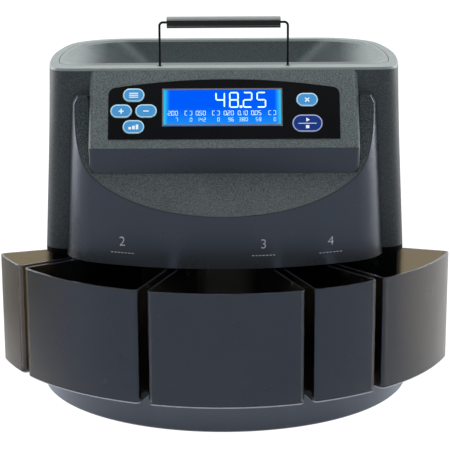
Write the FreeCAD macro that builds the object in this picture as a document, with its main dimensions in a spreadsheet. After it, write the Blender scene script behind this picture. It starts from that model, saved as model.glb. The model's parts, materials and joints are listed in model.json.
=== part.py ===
import FreeCAD, Part
import math
import operator
import os
from types import SimpleNamespace
import Sketcher

# Coin sorting machine. Millimetres, +Z up, front towards -Y.
# The origin is the middle of the footprint, on the surface that the machine stands on.
# The bins, the sorter and the round base share one upright axis, at axis_y.

DRIVING = [
    # Base and feet
    ("base_radius", 153.0),
    ("base_back", 138.5),
    ("base_wall", 3.0),
    ("base_floor", 3.0),
    ("base_height", 28.8),
    ("base_edge", 1.2),
    ("back_corner", 45.0),
    ("foot_radius", 9.0),
    ("foot_height", 0.8),
    ("foot_recess", 1.5),
    ("foot_side", 92.0),
    ("foot_front", 98.0),
    ("foot_rear", 100.0),
    # Core drum and the shelf under the bins
    ("core_inset", 5.0),
    ("core_back_inset", 3.6),
    ("core_wall", 3.0),
    ("shelf_inset", 0.6),
    ("shelf_thick", 3.0),
    ("column_radius", 81.2),
    ("bay_angle", 71.0),
    # Bins: the edges are degrees from straight ahead, left is negative
    ("bin_overhang", 38.5),
    ("bin_draft", 0.4),
    ("bin_height", 88.4),
    ("bin_wall", 2.0),
    ("bin_floor", 2.0),
    ("bin_corner", 4.3),
    ("bin_foot_round", 1.5),
    ("bin_spacing", 6.2),
    ("bin_lift", 0.3),
    ("bin_headroom", 0.7),
    ("column_gap", 0.8),
    ("bin_edge_one", -71.1),
    ("bin_edge_two", -55.5),
    ("bin_edge_three", -18.7),
    ("bin_edge_four", 19.2),
    ("bin_edge_five", 37.9),
    ("bin_edge_six", 71.1),
    # Sorting deck: one opening per coin size, each touching the guide rail
    ("deck_thick", 3.0),
    ("deck_gap", 0.5),
    ("rail_radius", 112.0),
    ("rail_wall", 2.5),
    ("rail_height", 6.0),
    ("rail_left", 80.0),
    ("rail_right", 95.0),
    ("coin_one", 26.5),
    ("coin_two", 24.26),
    ("coin_three", 21.21),
    ("coin_four", 19.05),
    ("coin_five", 17.91),
    ("coin_play", 0.6),
    ("sensor_depth", 3.0),
    ("sensor_wide", 8.0),
    ("sensor_high", 6.0),
    ("sensor_gap", 0.5),
    ("pillar_radius", 4.0),
    ("pillar_side", 104.0),
    ("pillar_rear", 72.0),
    ("pillar_back", 119.0),
    ("pillar_back_side", 45.0),
    ("screw_radius", 1.5),
    ("screw_head", 2.8),
    ("screw_head_high", 1.8),
    ("screw_reach", 8.0),
    # Upper housing
    ("housing_height", 148.3),
    ("housing_setback", 0.5),
    ("housing_half", 141.8),
    ("side_taper", 4.2),
    ("side_radius", 410.0),
    ("side_waist", 11.0),
    ("skirt_height", 4.2),
    ("housing_front", 71.0),
    ("housing_back", 131.0),
    ("housing_wall", 3.0),
    ("front_corner", 16.0),
    ("rim_thick", 3.0),
    ("rim_width", 7.5),
    ("rim_round", 2.0),
    ("rim_corner", 54.0),
    ("seam_corner", 22.0),
    ("ledge_thick", 3.0),
    ("ledge_width", 1.7),
    ("seam_front", 52.0),
    ("seam_gap", 0.15),
    # Hopper funnel
    ("mouth_side", 3.5),
    ("mouth_front", 38.0),
    ("mouth_corner", 24.0),
    ("funnel_wall", 2.5),
    ("bowl_depth", 32.0),
    ("bowl_half", 84.0),
    ("bowl_front", 44.0),
    ("bowl_back", 108.0),
    ("bowl_corner", 36.0),
    ("throat_half", 62.0),
    ("throat_corner", 56.0),
    ("throat_rise", 25.0),
    ("throat_gap", 4.2),
    # Front cover: bowed apron with a round hollow across its top
    ("apron_half", 126.6),
    ("apron_reach", 122.0),
    ("apron_depth", 60.0),
    ("apron_corner", 40.0),
    ("apron_height", 128.0),
    ("apron_lean", 6.5),
    ("shoulder_high", 6.0),
    ("shoulder_in", 2.5),
    ("cover_wall", 3.0),
    ("scoop_radius", 104.0),
    ("scoop_reach", 184.3),
    ("scoop_drop", 3.6),
    ("sort_window_half", 112.0),
    ("sort_window_high", 68.0),
    # Display console
    ("console_half", 104.5),
    ("console_drop", 2.0),
    ("face_run", 29.8),
    ("face_fall", 55.8),
    ("chin_run", 5.5),
    ("chin_fall", 22.0),
    ("console_wall", 2.5),
    ("console_round", 4.0),
    ("chin_corner", 10.0),
    ("console_gap", 0.2),
    ("console_lap", 10.0),
    ("overlay_half", 89.4),
    ("overlay_low", 24.2),
    ("overlay_high", 24.2),
    ("overlay_fall", 6.5),
    ("overlay_corner", 6.0),
    ("overlay_thick", 0.8),
    ("lcd_left", 1.4),
    ("lcd_rise", 1.35),
    ("lcd_half_wide", 46.5),
    ("lcd_half_high", 15.3),
    ("lcd_lip", 1.5),
    ("lcd_frame", 2.5),
    ("window_gap", 0.1),
    ("board_depth", 7.4),
    ("board_thick", 1.6),
    ("board_half_wide", 92.0),
    ("board_half_high", 20.5),
    # Buttons
    ("key_half_wide", 8.3),
    ("key_half_high", 5.4),
    ("start_half_wide", 11.6),
    ("start_half_high", 6.95),
    ("key_left", 69.8),
    ("key_spread", 9.6),
    ("set_rise", 11.3),
    ("middle_drop", 1.7),
    ("batch_drop", 14.5),
    ("key_right", 64.2),
    ("clear_rise", 7.0),
    ("start_drop", 12.2),
    ("key_play", 0.3),
    ("key_proud", 0.8),
    ("key_flange", 0.8),
    ("key_flange_thick", 1.4),
    ("key_travel", 0.8),
    ("key_rest_gap", 0.1),
    ("dome_radius", 3.0),
    ("dome_gap", 0.2),
    ("mat_thick", 1.0),
    ("mat_half_wide", 16.0),
    ("mat_half_high", 18.5),
    # Pull-up handle
    ("wire_radius", 0.9),
    ("leg_half", 50.2),
    ("leg_front", 57.0),
    ("handle_rise", 34.0),
    ("handle_bend", 2.8),
    ("grip_half", 44.4),
    ("grip_high", 8.5),
    ("grip_deep", 9.5),
    ("grip_round", 2.4),
    ("bush_radius", 2.4),
    ("bush_length", 14.0),
    ("stop_radius", 2.2),
    ("stop_length", 5.0),
    # Turning sorter
    ("shaft_radius", 6.0),
    ("running_gap", 0.05),
    ("fixed_gap", 0.02),
    ("bush_wall", 4.0),
    ("boss_wall", 5.0),
    ("deck_boss", 10.0),
    ("end_gap", 0.4),
    ("rotor_radius", 34.0),
    ("rotor_thick", 4.6),
    ("finger_thick", 2.6),
    ("finger_wide", 7.0),
    ("finger_clear", 2.0),
    ("finger_count", 6),
    ("finger_start", 42.0),
    ("cone_radius", 31.0),
    ("cone_tip", 9.0),
    ("cone_high", 20.0),
    ("collar_radius", 11.0),
    ("collar_high", 4.5),
    # Drive under the deck
    ("post_length", 39.0),
    ("post_radius", 3.5),
    ("post_side", 36.0),
    ("post_front", 30.0),
    ("post_rear", 72.0),
    ("plate_margin", 6.0),
    ("plate_thick", 3.0),
    ("plate_boss", 6.0),
    ("gear_module", 1.0),
    ("gear_teeth", 72),
    ("pinion_teeth", 18),
    ("gear_backlash", 0.3),
    ("gear_wide", 6.0),
    ("gear_lift", 9.0),
    ("gear_hub", 12.0),
    ("pinion_extra", 1.0),
    ("motor_radius", 18.0),
    ("gearbox_high", 24.0),
    ("motor_can_radius", 17.0),
    ("motor_can_high", 34.0),
    ("motor_shaft_radius", 3.0),
    ("motor_shaft_depth", 6.0),
    ("motor_boss_gap", 5.0),
    ("motor_screw_circle", 13.0),
    ("motor_screw_turn", 30.0),
    # Boards and power
    ("standoff_radius", 3.0),
    ("standoff_high", 8.0),
    ("standoff_margin", 5.0),
    ("main_near", 24.0),
    ("main_far", 92.0),
    ("main_front", 14.0),
    ("main_back", 104.0),
    ("supply_near", 26.0),
    ("supply_far", 92.0),
    ("supply_front", 22.0),
    ("supply_back", 104.0),
    ("supply_high", 34.0),
    ("inlet_side", 70.0),
    ("inlet_rise", 24.0),
    ("inlet_wide", 27.0),
    ("inlet_high", 20.0),
    ("inlet_deep", 20.0),
    ("inlet_rim", 2.5),
    ("inlet_wall", 2.0),
    ("inlet_socket", 15.0),
    ("panel_flange", 2.0),
    ("fit_play", 0.1),
    ("pin_wide", 2.0),
    ("pin_high", 4.0),
    ("pin_reach", 12.0),
    ("pin_spread", 7.0),
    ("pin_drop", 3.0),
    ("switch_side", 30.0),
    ("switch_wide", 15.0),
    ("switch_high", 21.0),
    ("switch_deep", 18.0),
    ("switch_wall", 2.0),
    ("rocker_play", 0.4),
    ("rocker_deep", 7.0),
    ("rocker_tilt", 7.0),
    ("rocker_pin", 1.5),
]

doc = FreeCAD.newDocument("coin_sorter")
sheet = doc.addObject("Spreadsheet::Sheet", "Sizes")
for row, (alias, number) in enumerate(DRIVING, 1):
    sheet.set(f"A{row}", alias)
    sheet.set(f"B{row}", str(number))
    sheet.setAlias(f"B{row}", alias)
doc.recompute()

SIGNS = {"+": operator.add, "-": operator.sub, "*": operator.mul, "/": operator.truediv}


class Size:
    """A length or angle: its number now, and the formula that gives it from the sheet."""

    def __init__(self, value, text):
        self.value = float(value)
        self.text = text

    def __add__(self, other):
        return combine(self, "+", other)

    def __radd__(self, other):
        return combine(other, "+", self)

    def __sub__(self, other):
        return combine(self, "-", other)

    def __rsub__(self, other):
        return combine(other, "-", self)

    def __mul__(self, other):
        return combine(self, "*", other)

    def __rmul__(self, other):
        return combine(other, "*", self)

    def __truediv__(self, other):
        return combine(self, "/", other)

    def __rtruediv__(self, other):
        return combine(other, "/", self)

    def __neg__(self):
        return combine(0, "-", self)


def as_size(value):
    return value if isinstance(value, Size) else Size(value, repr(float(value)))


def combine(left, sign, right):
    left = as_size(left)
    right = as_size(right)
    return Size(SIGNS[sign](left.value, right.value), f"({left.text} {sign} {right.text})")


def root(size):
    return Size(math.sqrt(size.value), f"sqrt({size.text})")


def sine(degrees):
    return Size(math.sin(math.radians(degrees.value)), f"sin({degrees.text})")


def cosine(degrees):
    return Size(math.cos(math.radians(degrees.value)), f"cos({degrees.text})")


def slope_angle(rise, run):
    angle = math.degrees(math.atan2(rise.value, run.value))
    return Size(angle, f"atan({rise.text} / {run.text})")


s = SimpleNamespace(**{alias: Size(sheet.get(alias), f"Sizes.{alias}") for alias, _ in DRIVING})

# Heights, from the floor up
pan_z = s.foot_height
floor_z = pan_z + s.base_floor
shelf_z = pan_z + s.base_height
bin_z = shelf_z + s.shelf_thick + s.bin_lift
core_top = bin_z + s.bin_height + s.bin_headroom
deck_z = core_top + s.deck_thick
housing_z = core_top + s.skirt_height
rim_z = core_top + s.housing_height
seat_z = rim_z - s.rim_thick
ledge_z = seat_z - s.ledge_thick
apron_z = core_top + s.apron_height
plate_z = core_top - s.post_length
sort_top = core_top + s.sort_window_high
face_top_z = rim_z - s.console_drop
console_seat_z = face_top_z - s.face_fall - s.chin_fall + s.console_lap

# Places across, measured from the upright axis
bin_top_radius = s.base_radius + s.bin_overhang
axis_y = (bin_top_radius - s.base_back) / 2
core_radius = s.base_radius - s.core_inset
core_back = s.base_back - s.core_back_inset
core_corner = s.back_corner - s.core_back_inset
housing_foot_half = core_radius - s.housing_setback
housing_foot_back = core_back - s.housing_setback
gear_radius = s.gear_module * s.gear_teeth / 2
pinion_radius = s.gear_module * s.pinion_teeth / 2
motor_y = gear_radius + pinion_radius
bin_edges = [s.bin_edge_one, s.bin_edge_two, s.bin_edge_three]
bin_edges += [s.bin_edge_four, s.bin_edge_five, s.bin_edge_six]
coins = [s.coin_one, s.coin_two, s.coin_three, s.coin_four, s.coin_five]

PARTS = []
X_AXIS = FreeCAD.Vector(1, 0, 0)
Y_AXIS = FreeCAD.Vector(0, 1, 0)
Z_AXIS = FreeCAD.Vector(0, 0, 1)
MARGIN = 1.0
TOUCH = 1e-4
MOTOR_SCREWS = 3
PRESSURE_ANGLE = 20
TOOTH_FOOT = 1.25
FLANK_STEPS = 4


def keep(shape, label):
    """Name a finished sub-part."""
    shape.Label = label
    PARTS.append(shape)
    return shape


def bind(thing, field, size):
    thing.setExpression(field, as_size(size).text)


def place(thing, x=0, y=0, z=0, axis=Z_AXIS, turn=None):
    """Put a thing at a place worked out from the sheet, turned about one axis."""
    spot = [as_size(size) for size in (x, y, z)]
    angle = as_size(0 if turn is None else turn)
    point = FreeCAD.Vector(*[size.value for size in spot])
    thing.Placement = FreeCAD.Placement(point, FreeCAD.Rotation(axis, angle.value))
    for letter, size in zip("xyz", spot):
        bind(thing, f".Placement.Base.{letter}", size)
    if turn is not None:
        bind(thing, ".Placement.Rotation.Angle", angle)
    return thing


def block(xs, ys, zs):
    """A box from its three spans."""
    box = doc.addObject("Part::Box", "block")
    for field, (low, high) in zip(("Length", "Width", "Height"), (xs, ys, zs)):
        bind(box, field, as_size(high) - low)
    return place(box, xs[0], ys[0], zs[0])


def rod(radius, zs, x=0, y=0):
    """An upright cylinder."""
    cylinder = doc.addObject("Part::Cylinder", "rod")
    bind(cylinder, "Radius", radius)
    bind(cylinder, "Height", as_size(zs[1]) - zs[0])
    return place(cylinder, x, y, zs[0])


def cross_rod(radius, xs, y, z):
    """A cylinder lying along X."""
    cylinder = doc.addObject("Part::Cylinder", "cross_rod")
    bind(cylinder, "Radius", radius)
    bind(cylinder, "Height", as_size(xs[1]) - xs[0])
    return place(cylinder, xs[0], y, z, Y_AXIS, 90)


def sector(radius, zs, y, start, sweep):
    """A slice of a round disc about the upright axis."""
    slice_ = doc.addObject("Part::Cylinder", "sector")
    bind(slice_, "Radius", radius)
    bind(slice_, "Height", as_size(zs[1]) - zs[0])
    bind(slice_, "Angle", sweep)
    return place(slice_, 0, y, zs[0], Z_AXIS, start)


def fuse(*shapes):
    if len(shapes) == 1:
        return shapes[0]
    joined = doc.addObject("Part::MultiFuse", "joined")
    joined.Shapes = list(shapes)
    return joined


def cut(base, *tools):
    result = doc.addObject("Part::Cut", "cut")
    result.Base = base
    result.Tool = fuse(*tools)
    return result


def common(first, second):
    overlap = doc.addObject("Part::MultiCommon", "common")
    overlap.Shapes = [first, second]
    return overlap


def tube(outer, inner, zs, x=0, y=0):
    return cut(rod(outer, zs, x, y), rod(inner, (zs[0] - MARGIN, zs[1] + MARGIN), x, y))


def new_body(name):
    return doc.addObject("PartDesign::Body", name)


def new_sketch(body, plane="XY_Plane", lift=0):
    """A sketch on one of the body's own planes, moved along that plane's normal."""
    sketch = body.newObject("Sketcher::SketchObject", "sketch")
    support = [item for item in body.Origin.OriginFeatures if item.Role == plane][0]
    sketch.AttachmentSupport = [(support, "")]
    sketch.MapMode = "FlatFace"
    bind(sketch, ".AttachmentOffset.Base.z", lift)
    return sketch


def pin_point(sketch, kind, edge, position, size):
    size = as_size(size)
    index = sketch.addConstraint(Sketcher.Constraint(kind, -1, 1, edge, position, size.value))
    sketch.setExpression(f"Constraints[{index}]", size.text)


def outline(sketch, points, closed=True):
    """Lines and arcs through points. A point is (x, y), or (x, y, centre x, centre y, anticlockwise)
    where an arc leaves it for the next point."""
    spots = [FreeCAD.Vector(as_size(point[0]).value, as_size(point[1]).value, 0) for point in points]
    count = len(points)
    edges = []
    ends = []
    for index in range(count if closed else count - 1):
        point = points[index]
        here = spots[index]
        there = spots[(index + 1) % count]
        if len(point) == 2:
            edges.append(Part.LineSegment(here, there))
            ends.append((1, 2))
            continue
        centre = FreeCAD.Vector(as_size(point[2]).value, as_size(point[3]).value, 0)
        first, last = (here, there) if point[4] else (there, here)
        start = math.atan2(first.y - centre.y, first.x - centre.x)
        stop = math.atan2(last.y - centre.y, last.x - centre.x)
        if stop <= start:
            stop += 2 * math.pi
        circle = Part.Circle(centre, Z_AXIS, (here - centre).Length)
        edges.append(Part.ArcOfCircle(circle, start, stop))
        ends.append((1, 2) if point[4] else (2, 1))
    base = sketch.GeometryCount
    sketch.addGeometry(edges, False)
    for index in range(len(edges)):
        follower = (index + 1) % count
        if follower < len(edges):
            pair = (base + index, ends[index][1], base + follower, ends[follower][0])
            sketch.addConstraint(Sketcher.Constraint("Coincident", *pair))
    for index, point in enumerate(points):
        edge, position = (index, 0) if index < len(edges) else (index - 1, 1)
        pin_point(sketch, "DistanceX", base + edge, ends[edge][position], point[0])
        pin_point(sketch, "DistanceY", base + edge, ends[edge][position], point[1])
        if len(point) > 2:
            chord = spots[(index + 1) % count] - spots[index]
            if abs(chord.x) > abs(chord.y):
                pin_point(sketch, "DistanceY", base + index, 3, point[3])
            else:
                pin_point(sketch, "DistanceX", base + index, 3, point[2])
    return sketch


def ring(sketch, x, y, radius):
    """A circle in a sketch."""
    centre = FreeCAD.Vector(as_size(x).value, as_size(y).value, 0)
    radius = as_size(radius)
    edge = sketch.addGeometry(Part.Circle(centre, Z_AXIS, radius.value), False)
    pin_point(sketch, "DistanceX", edge, 3, x)
    pin_point(sketch, "DistanceY", edge, 3, y)
    index = sketch.addConstraint(Sketcher.Constraint("Radius", edge, radius.value))
    sketch.setExpression(f"Constraints[{index}]", radius.text)
    return sketch


def pad(body, sketch, length):
    feature = body.newObject("PartDesign::Pad", "pad")
    feature.Profile = sketch
    bind(feature, "Length", length)
    doc.recompute()
    return feature


def pocket(body, sketch, length):
    """Cut along the sketch's normal, and check that something was cut."""
    before = body.Shape.Volume
    feature = body.newObject("PartDesign::Pocket", "pocket")
    feature.Profile = sketch
    feature.Reversed = True
    bind(feature, "Length", length)
    doc.recompute()
    if body.Shape.Volume >= before:
        raise ValueError(f"a pocket in {body.Name} cuts nothing")
    return feature


def loft(body, low, high, add=True):
    feature = body.newObject("PartDesign::AdditiveLoft" if add else "PartDesign::SubtractiveLoft", "loft")
    feature.Profile = low
    feature.Sections = [high]
    feature.Ruled = True
    doc.recompute()
    return feature


def fillet(body, radius, wanted):
    """Round the edges of the body for which wanted(edge's middle, edge) is true."""
    base = body.Tip
    names = []
    for index, edge in enumerate(base.Shape.Edges, 1):
        middle = edge.valueAt((edge.FirstParameter + edge.LastParameter) / 2)
        if wanted(middle, edge):
            names.append(f"Edge{index}")
    feature = body.newObject("PartDesign::Fillet", "fillet")
    feature.Base = (base, names)
    bind(feature, "Radius", radius)
    doc.recompute()
    return feature


def level(edge, height):
    """Whether an edge lies flat at a height."""
    return abs(edge.BoundBox.ZMin - height) < TOUCH and abs(edge.BoundBox.ZMax - height) < TOUCH


def rounded_rect(sketch, half, front, back, front_round, back_round, taper=0):
    """A rectangle about the middle line, with its own corner radius at the front and at the back.
    With a taper its sides draw in towards the front."""
    inner_front = front + front_round
    inner_back = back - back_round
    front_half = half - taper
    side_front = front_half - front_round
    side_back = half - back_round
    return outline(sketch, [
        (-side_front, front),
        (side_front, front, side_front, inner_front, True),
        (front_half, inner_front),
        (half, inner_back, side_back, inner_back, True),
        (side_back, back),
        (-side_back, back, -side_back, inner_back, True),
        (-half, inner_back),
        (-front_half, inner_front, -side_front, inner_front, True),
    ])


def housing_foot(sketch, inset):
    """The housing's outline where it stands on the core, set in by a wall."""
    return rounded_rect(sketch, housing_foot_half - inset, inset - s.housing_front, housing_foot_back - inset,
                        s.front_corner - inset, s.back_corner - inset, s.side_taper)


def sorting_window():
    """The way through the front, for the deck and the coins on it."""
    front_y = (axis_y - s.housing_front - MARGIN, axis_y - s.housing_front + s.housing_wall + MARGIN)
    return block((-s.sort_window_half, s.sort_window_half), front_y, (core_top - MARGIN, sort_top))


def round_front(name, radius, back, corner, zs, ease=None):
    """A prism that is half round at the front and square with round corners at the back.
    With an ease its lowest part slopes in."""
    body = new_body(name)
    side = radius - corner
    turn = back - corner
    high = as_size(zs[1]) - zs[0]

    def level_outline(lift, inset):
        edge = radius - inset
        rear = back - inset
        return outline(new_sketch(body, lift=lift), [
            (-edge, 0, 0, 0, True),
            (edge, 0),
            (edge, turn, side, turn, True),
            (side, rear),
            (-side, rear, -side, turn, True),
            (-edge, turn),
        ])

    if ease is None:
        pad(body, level_outline(0, 0), high)
    else:
        loft(body, level_outline(0, ease), level_outline(ease, 0))
        pad(body, level_outline(ease, 0), high - ease)
    return place(body, 0, axis_y, zs[0])


def pillar_places():
    for side in (-1, 1):
        yield s.pillar_side * side, axis_y + s.pillar_rear
        yield s.pillar_back_side * side, axis_y + s.pillar_back


def base_parts():
    """Pan, feet and the screws that hold the pan to the pillars."""
    pan = round_front("pan", s.base_radius, s.base_back, s.back_corner, (pan_z, shelf_z), s.base_edge)
    inset = s.base_wall
    hollow = round_front("pan_hollow", s.base_radius - inset, s.base_back - inset, s.back_corner - inset,
                         (floor_z, shelf_z + MARGIN))
    foot_top = pan_z + s.foot_recess
    foot_places = []
    for side in (-1, 1):
        foot_places.append((s.foot_side * side, axis_y - s.foot_front))
        foot_places.append((s.foot_side * side, axis_y + s.foot_rear))
    recesses = [rod(s.foot_radius + s.fit_play, (pan_z - MARGIN, foot_top), x, y) for x, y in foot_places]
    head_z = pan_z + s.screw_head_high
    holes = []
    screws = []
    for x, y in pillar_places():
        holes.append(rod(s.screw_radius + s.fit_play, (pan_z, floor_z), x, y))
        holes.append(rod(s.screw_head + s.fit_play, (pan_z - MARGIN, head_z), x, y))
        shank = rod(s.screw_radius, (pan_z, floor_z + s.screw_reach), x, y)
        screws.append(fuse(shank, rod(s.screw_head, (pan_z, head_z), x, y)))
    keep(cut(pan, hollow, *recesses, *holes), "base_pan")
    keep(fuse(*[rod(s.foot_radius, (0, foot_top), x, y) for x, y in foot_places]), "rubber_feet")
    keep(fuse(*screws), "base_screws")


def panel_hole(side, wide, high):
    """A hole through the back of the core for a fitting of the given size."""
    half_wide = wide / 2 + s.fit_play
    half_high = high / 2 + s.fit_play
    middle_z = shelf_z + s.inlet_rise
    back = axis_y + core_back
    ys = (back - s.core_wall - MARGIN, back + MARGIN)
    return block((side - half_wide, side + half_wide), ys, (middle_z - half_high, middle_z + half_high))


def core_parts():
    """Drum with the bay for the bins cut out of its front, and the shelf under the bins."""
    shelf_top = shelf_z + s.shelf_thick
    reach = s.base_radius + s.core_inset
    shelf = round_front("shelf", s.base_radius - s.shelf_inset, s.base_back - s.shelf_inset,
                        s.back_corner - s.shelf_inset, (shelf_z, shelf_top))
    drum = round_front("drum", core_radius, core_back, core_corner, (shelf_z, core_top))
    bay_start = -90 - s.bay_angle
    bay = cut(sector(reach, (shelf_top, core_top + MARGIN), axis_y, bay_start, s.bay_angle * 2),
              rod(s.column_radius, (shelf_z, core_top + MARGIN * 2), 0, axis_y))
    inset = s.core_wall
    through = (shelf_z - MARGIN, core_top + MARGIN)
    room = round_front("room", core_radius - inset, core_back - inset, core_corner - inset, through)
    apex = axis_y + inset / sine(s.bay_angle)
    wider_bay = sector(reach + s.core_wall, (shelf_z - MARGIN * 2, core_top + MARGIN * 2), apex, bay_start,
                       s.bay_angle * 2)
    column_room = rod(s.column_radius - inset, through, 0, axis_y)
    void = fuse(cut(room, wider_bay), column_room)
    holes = [panel_hole(s.inlet_side, s.inlet_wide, s.inlet_high),
             panel_hole(s.switch_side, s.switch_wide, s.switch_high)]
    skirt = new_body("skirt")
    pad(skirt, housing_foot(new_sketch(skirt), 0), s.skirt_height)
    pocket(skirt, housing_foot(new_sketch(skirt), s.housing_wall), s.skirt_height)
    place(skirt, 0, axis_y, core_top)
    drum_shell = cut(fuse(shelf, cut(drum, bay)), void, *holes)
    keep(fuse(drum_shell, cut(skirt, sorting_window())), "core_shell")


def bin_outline(body, lift, half_angle, outer, inset):
    """A ring slice about local +X with round outer corners, set in by a wall all round."""
    edge = s.bin_spacing / 2 + inset
    outer = outer - inset
    corner = s.bin_corner - inset
    inner = s.column_radius + s.column_gap + inset
    cos_half = cosine(half_angle)
    sin_half = sine(half_angle)

    def beside(along, aside):
        return along * cos_half + aside * sin_half, along * sin_half - aside * cos_half

    turn = outer - corner
    turn_edge = edge + corner
    far = root(turn * turn - turn_edge * turn_edge)
    near = root(inner * inner - edge * edge)
    turn_x, turn_y = beside(far, turn_edge)
    side_x, side_y = beside(far, edge)
    near_x, near_y = beside(near, edge)
    reach = outer / turn
    return outline(new_sketch(body, lift=lift), [
        (turn_x * reach, -turn_y * reach, 0, 0, True),
        (turn_x * reach, turn_y * reach, turn_x, turn_y, True),
        (side_x, side_y),
        (near_x, near_y, 0, 0, False),
        (near_x, -near_y),
        (side_x, -side_y, turn_x, -turn_y, True),
    ])


def coin_bin(number, left, right):
    """One tub: drafted front, round front corners, eased foot, open top."""
    body = new_body(f"bin_{number}")
    half_angle = (right - left) / 2
    high = s.bin_height
    ease = s.bin_foot_round
    low_radius = bin_top_radius - s.bin_draft

    def level_outline(lift, radius, inset):
        return bin_outline(body, lift, half_angle, radius, inset)

    loft(body, level_outline(0, low_radius, ease), level_outline(ease, low_radius, 0))
    loft(body, level_outline(ease, low_radius, 0), level_outline(high, bin_top_radius, 0))
    hollow_low = level_outline(s.bin_floor, low_radius, s.bin_wall)
    hollow_high = level_outline(high, bin_top_radius, s.bin_wall)
    loft(body, hollow_low, hollow_high, add=False)
    place(body, 0, axis_y, bin_z, Z_AXIS, (left + right) / 2 - 90)
    keep(body, f"coin_bin_{number}")


def bin_parts():
    for number, (left, right) in enumerate(zip(bin_edges, bin_edges[1:]), 1):
        coin_bin(number, left, right)


def apron_outline(body, lift, inset, lean):
    """The bowed front at one level: a wide arc between two corner arcs, cut off at the housing's front."""
    half = s.apron_half - inset - lean
    depth = s.apron_depth - inset
    corner = s.apron_corner - inset
    middle_y = s.apron_depth - s.apron_reach
    corner_x = half - corner
    front = (corner_x * corner_x + depth * depth - corner * corner) / ((depth - corner) * 2)
    front_y = middle_y + front - depth
    meet_x = corner_x * front / (front - corner)
    meet_y = front_y + (middle_y - front_y) * front / (front - corner)
    back_y = -s.housing_front
    back_gap = middle_y - back_y
    back_x = corner_x + root(corner * corner - back_gap * back_gap)
    return outline(new_sketch(body, lift=lift), [
        (-back_x, back_y, -corner_x, middle_y, True),
        (-meet_x, meet_y, 0, front_y, True),
        (meet_x, meet_y, corner_x, middle_y, True),
        (back_x, back_y),
    ])


def apron_prism(name, inset, zs):
    """The bowed front between two heights. Its sides lean in as it rises, and its shoulder is eased."""
    body = new_body(name)
    low, high = zs
    shoulder = apron_z - s.shoulder_high

    def level_outline(z, more=0):
        lean = s.apron_lean * (z - core_top) / s.apron_height
        return apron_outline(body, z - low, as_size(inset) + more, lean)

    if high.value <= shoulder.value:
        loft(body, level_outline(low), level_outline(high))
    else:
        loft(body, level_outline(low), level_outline(shoulder))
        loft(body, level_outline(shoulder), level_outline(high, s.shoulder_in))
    return place(body, 0, axis_y, low)


def scoop(radius):
    """The round hollow across the top of the front cover."""
    reach = s.apron_half + MARGIN
    return cross_rod(radius, (-reach, reach), axis_y - s.scoop_reach, apron_z - s.scoop_drop)


def console_window(half, zs, deep):
    """The way through behind the console, for the display."""
    return block((-half, half), (axis_y - s.apron_reach, axis_y - s.housing_front + deep), zs)


def cover_parts():
    """Front cover: apron wall, the skin of its hollow and the ledge above."""
    wall = s.cover_wall
    outer = apron_prism("apron", 0, (core_top, apron_z))
    inner = apron_prism("apron_room", wall, (core_top - MARGIN, apron_z - wall))
    window = console_window(s.console_half + s.console_gap, (console_seat_z, apron_z + MARGIN), MARGIN)
    shell = cut(outer, scoop(s.scoop_radius))
    keep(cut(shell, cut(inner, scoop(s.scoop_radius + wall)), window), "front_cover")


def leg_places():
    for side in (-1, 1):
        yield s.leg_half * side, axis_y - s.leg_front


def bowed_rect(sketch, inset, front, front_round):
    """The rim's outline set in at its bowed sides and back, with a front edge and front corners of its own.
    Each corner touches the arc of the side."""
    side = s.side_radius - inset
    side_x = s.housing_half - s.side_radius
    side_y = s.side_waist
    back_round = s.rim_corner - inset
    back = s.housing_back - inset

    def corner(radius, y):
        """The corner's middle, and where it meets the arc of the side."""
        apart = side - radius
        rise = y - side_y
        run = root(apart * apart - rise * rise)
        return side_x + run, side_x + run * side / apart, side_y + rise * side / apart

    front_y = front + front_round
    front_x, front_meet_x, front_meet_y = corner(front_round, front_y)
    back_y = back - back_round
    back_x, back_meet_x, back_meet_y = corner(back_round, back_y)
    return outline(sketch, [
        (-front_x, front),
        (front_x, front, front_x, front_y, True),
        (front_meet_x, front_meet_y, side_x, side_y, True),
        (back_meet_x, back_meet_y, back_x, back_y, True),
        (back_x, back),
        (-back_x, back, -back_x, back_y, True),
        (-back_meet_x, back_meet_y, -side_x, side_y, True),
        (-front_meet_x, front_meet_y, -front_x, front_y, True),
    ])


def seam(sketch, inset):
    """The outline of the seat for the funnel in the rim, set in all round."""
    return bowed_rect(sketch, s.rim_width + inset, inset - s.seam_front, s.seam_corner - inset)


def housing_parts():
    """Casing that narrows to a rim with a stepped seat for the funnel."""
    body = new_body("housing")
    high = rim_z - housing_z
    wall = s.housing_wall
    round_z = high - s.rim_round

    def rim(lift, inset):
        sketch = new_sketch(body, lift=lift)
        return bowed_rect(sketch, inset, inset - s.housing_front, s.front_corner - inset)

    loft(body, housing_foot(new_sketch(body), 0), rim(round_z, 0))
    loft(body, rim(round_z, 0), rim(high, s.rim_round / 2))
    room_high = high - s.rim_thick - s.ledge_thick
    loft(body, housing_foot(new_sketch(body), wall), rim(room_high, wall), add=False)
    pocket(body, seam(new_sketch(body, lift=high - s.rim_thick), 0), s.rim_thick)
    pocket(body, seam(new_sketch(body, lift=room_high), s.ledge_width), s.ledge_thick)
    place(body, 0, axis_y, housing_z)
    display_half = s.console_half - s.console_lap
    display_way = console_window(display_half, (sort_top - MARGIN, ledge_z), wall + MARGIN)
    leg_holes = [rod(s.bush_radius + s.fixed_gap, (ledge_z - MARGIN, rim_z + MARGIN), x, y)
                 for x, y in leg_places()]
    keep(cut(body, sorting_window(), display_way, *leg_holes), "upper_housing")


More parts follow.
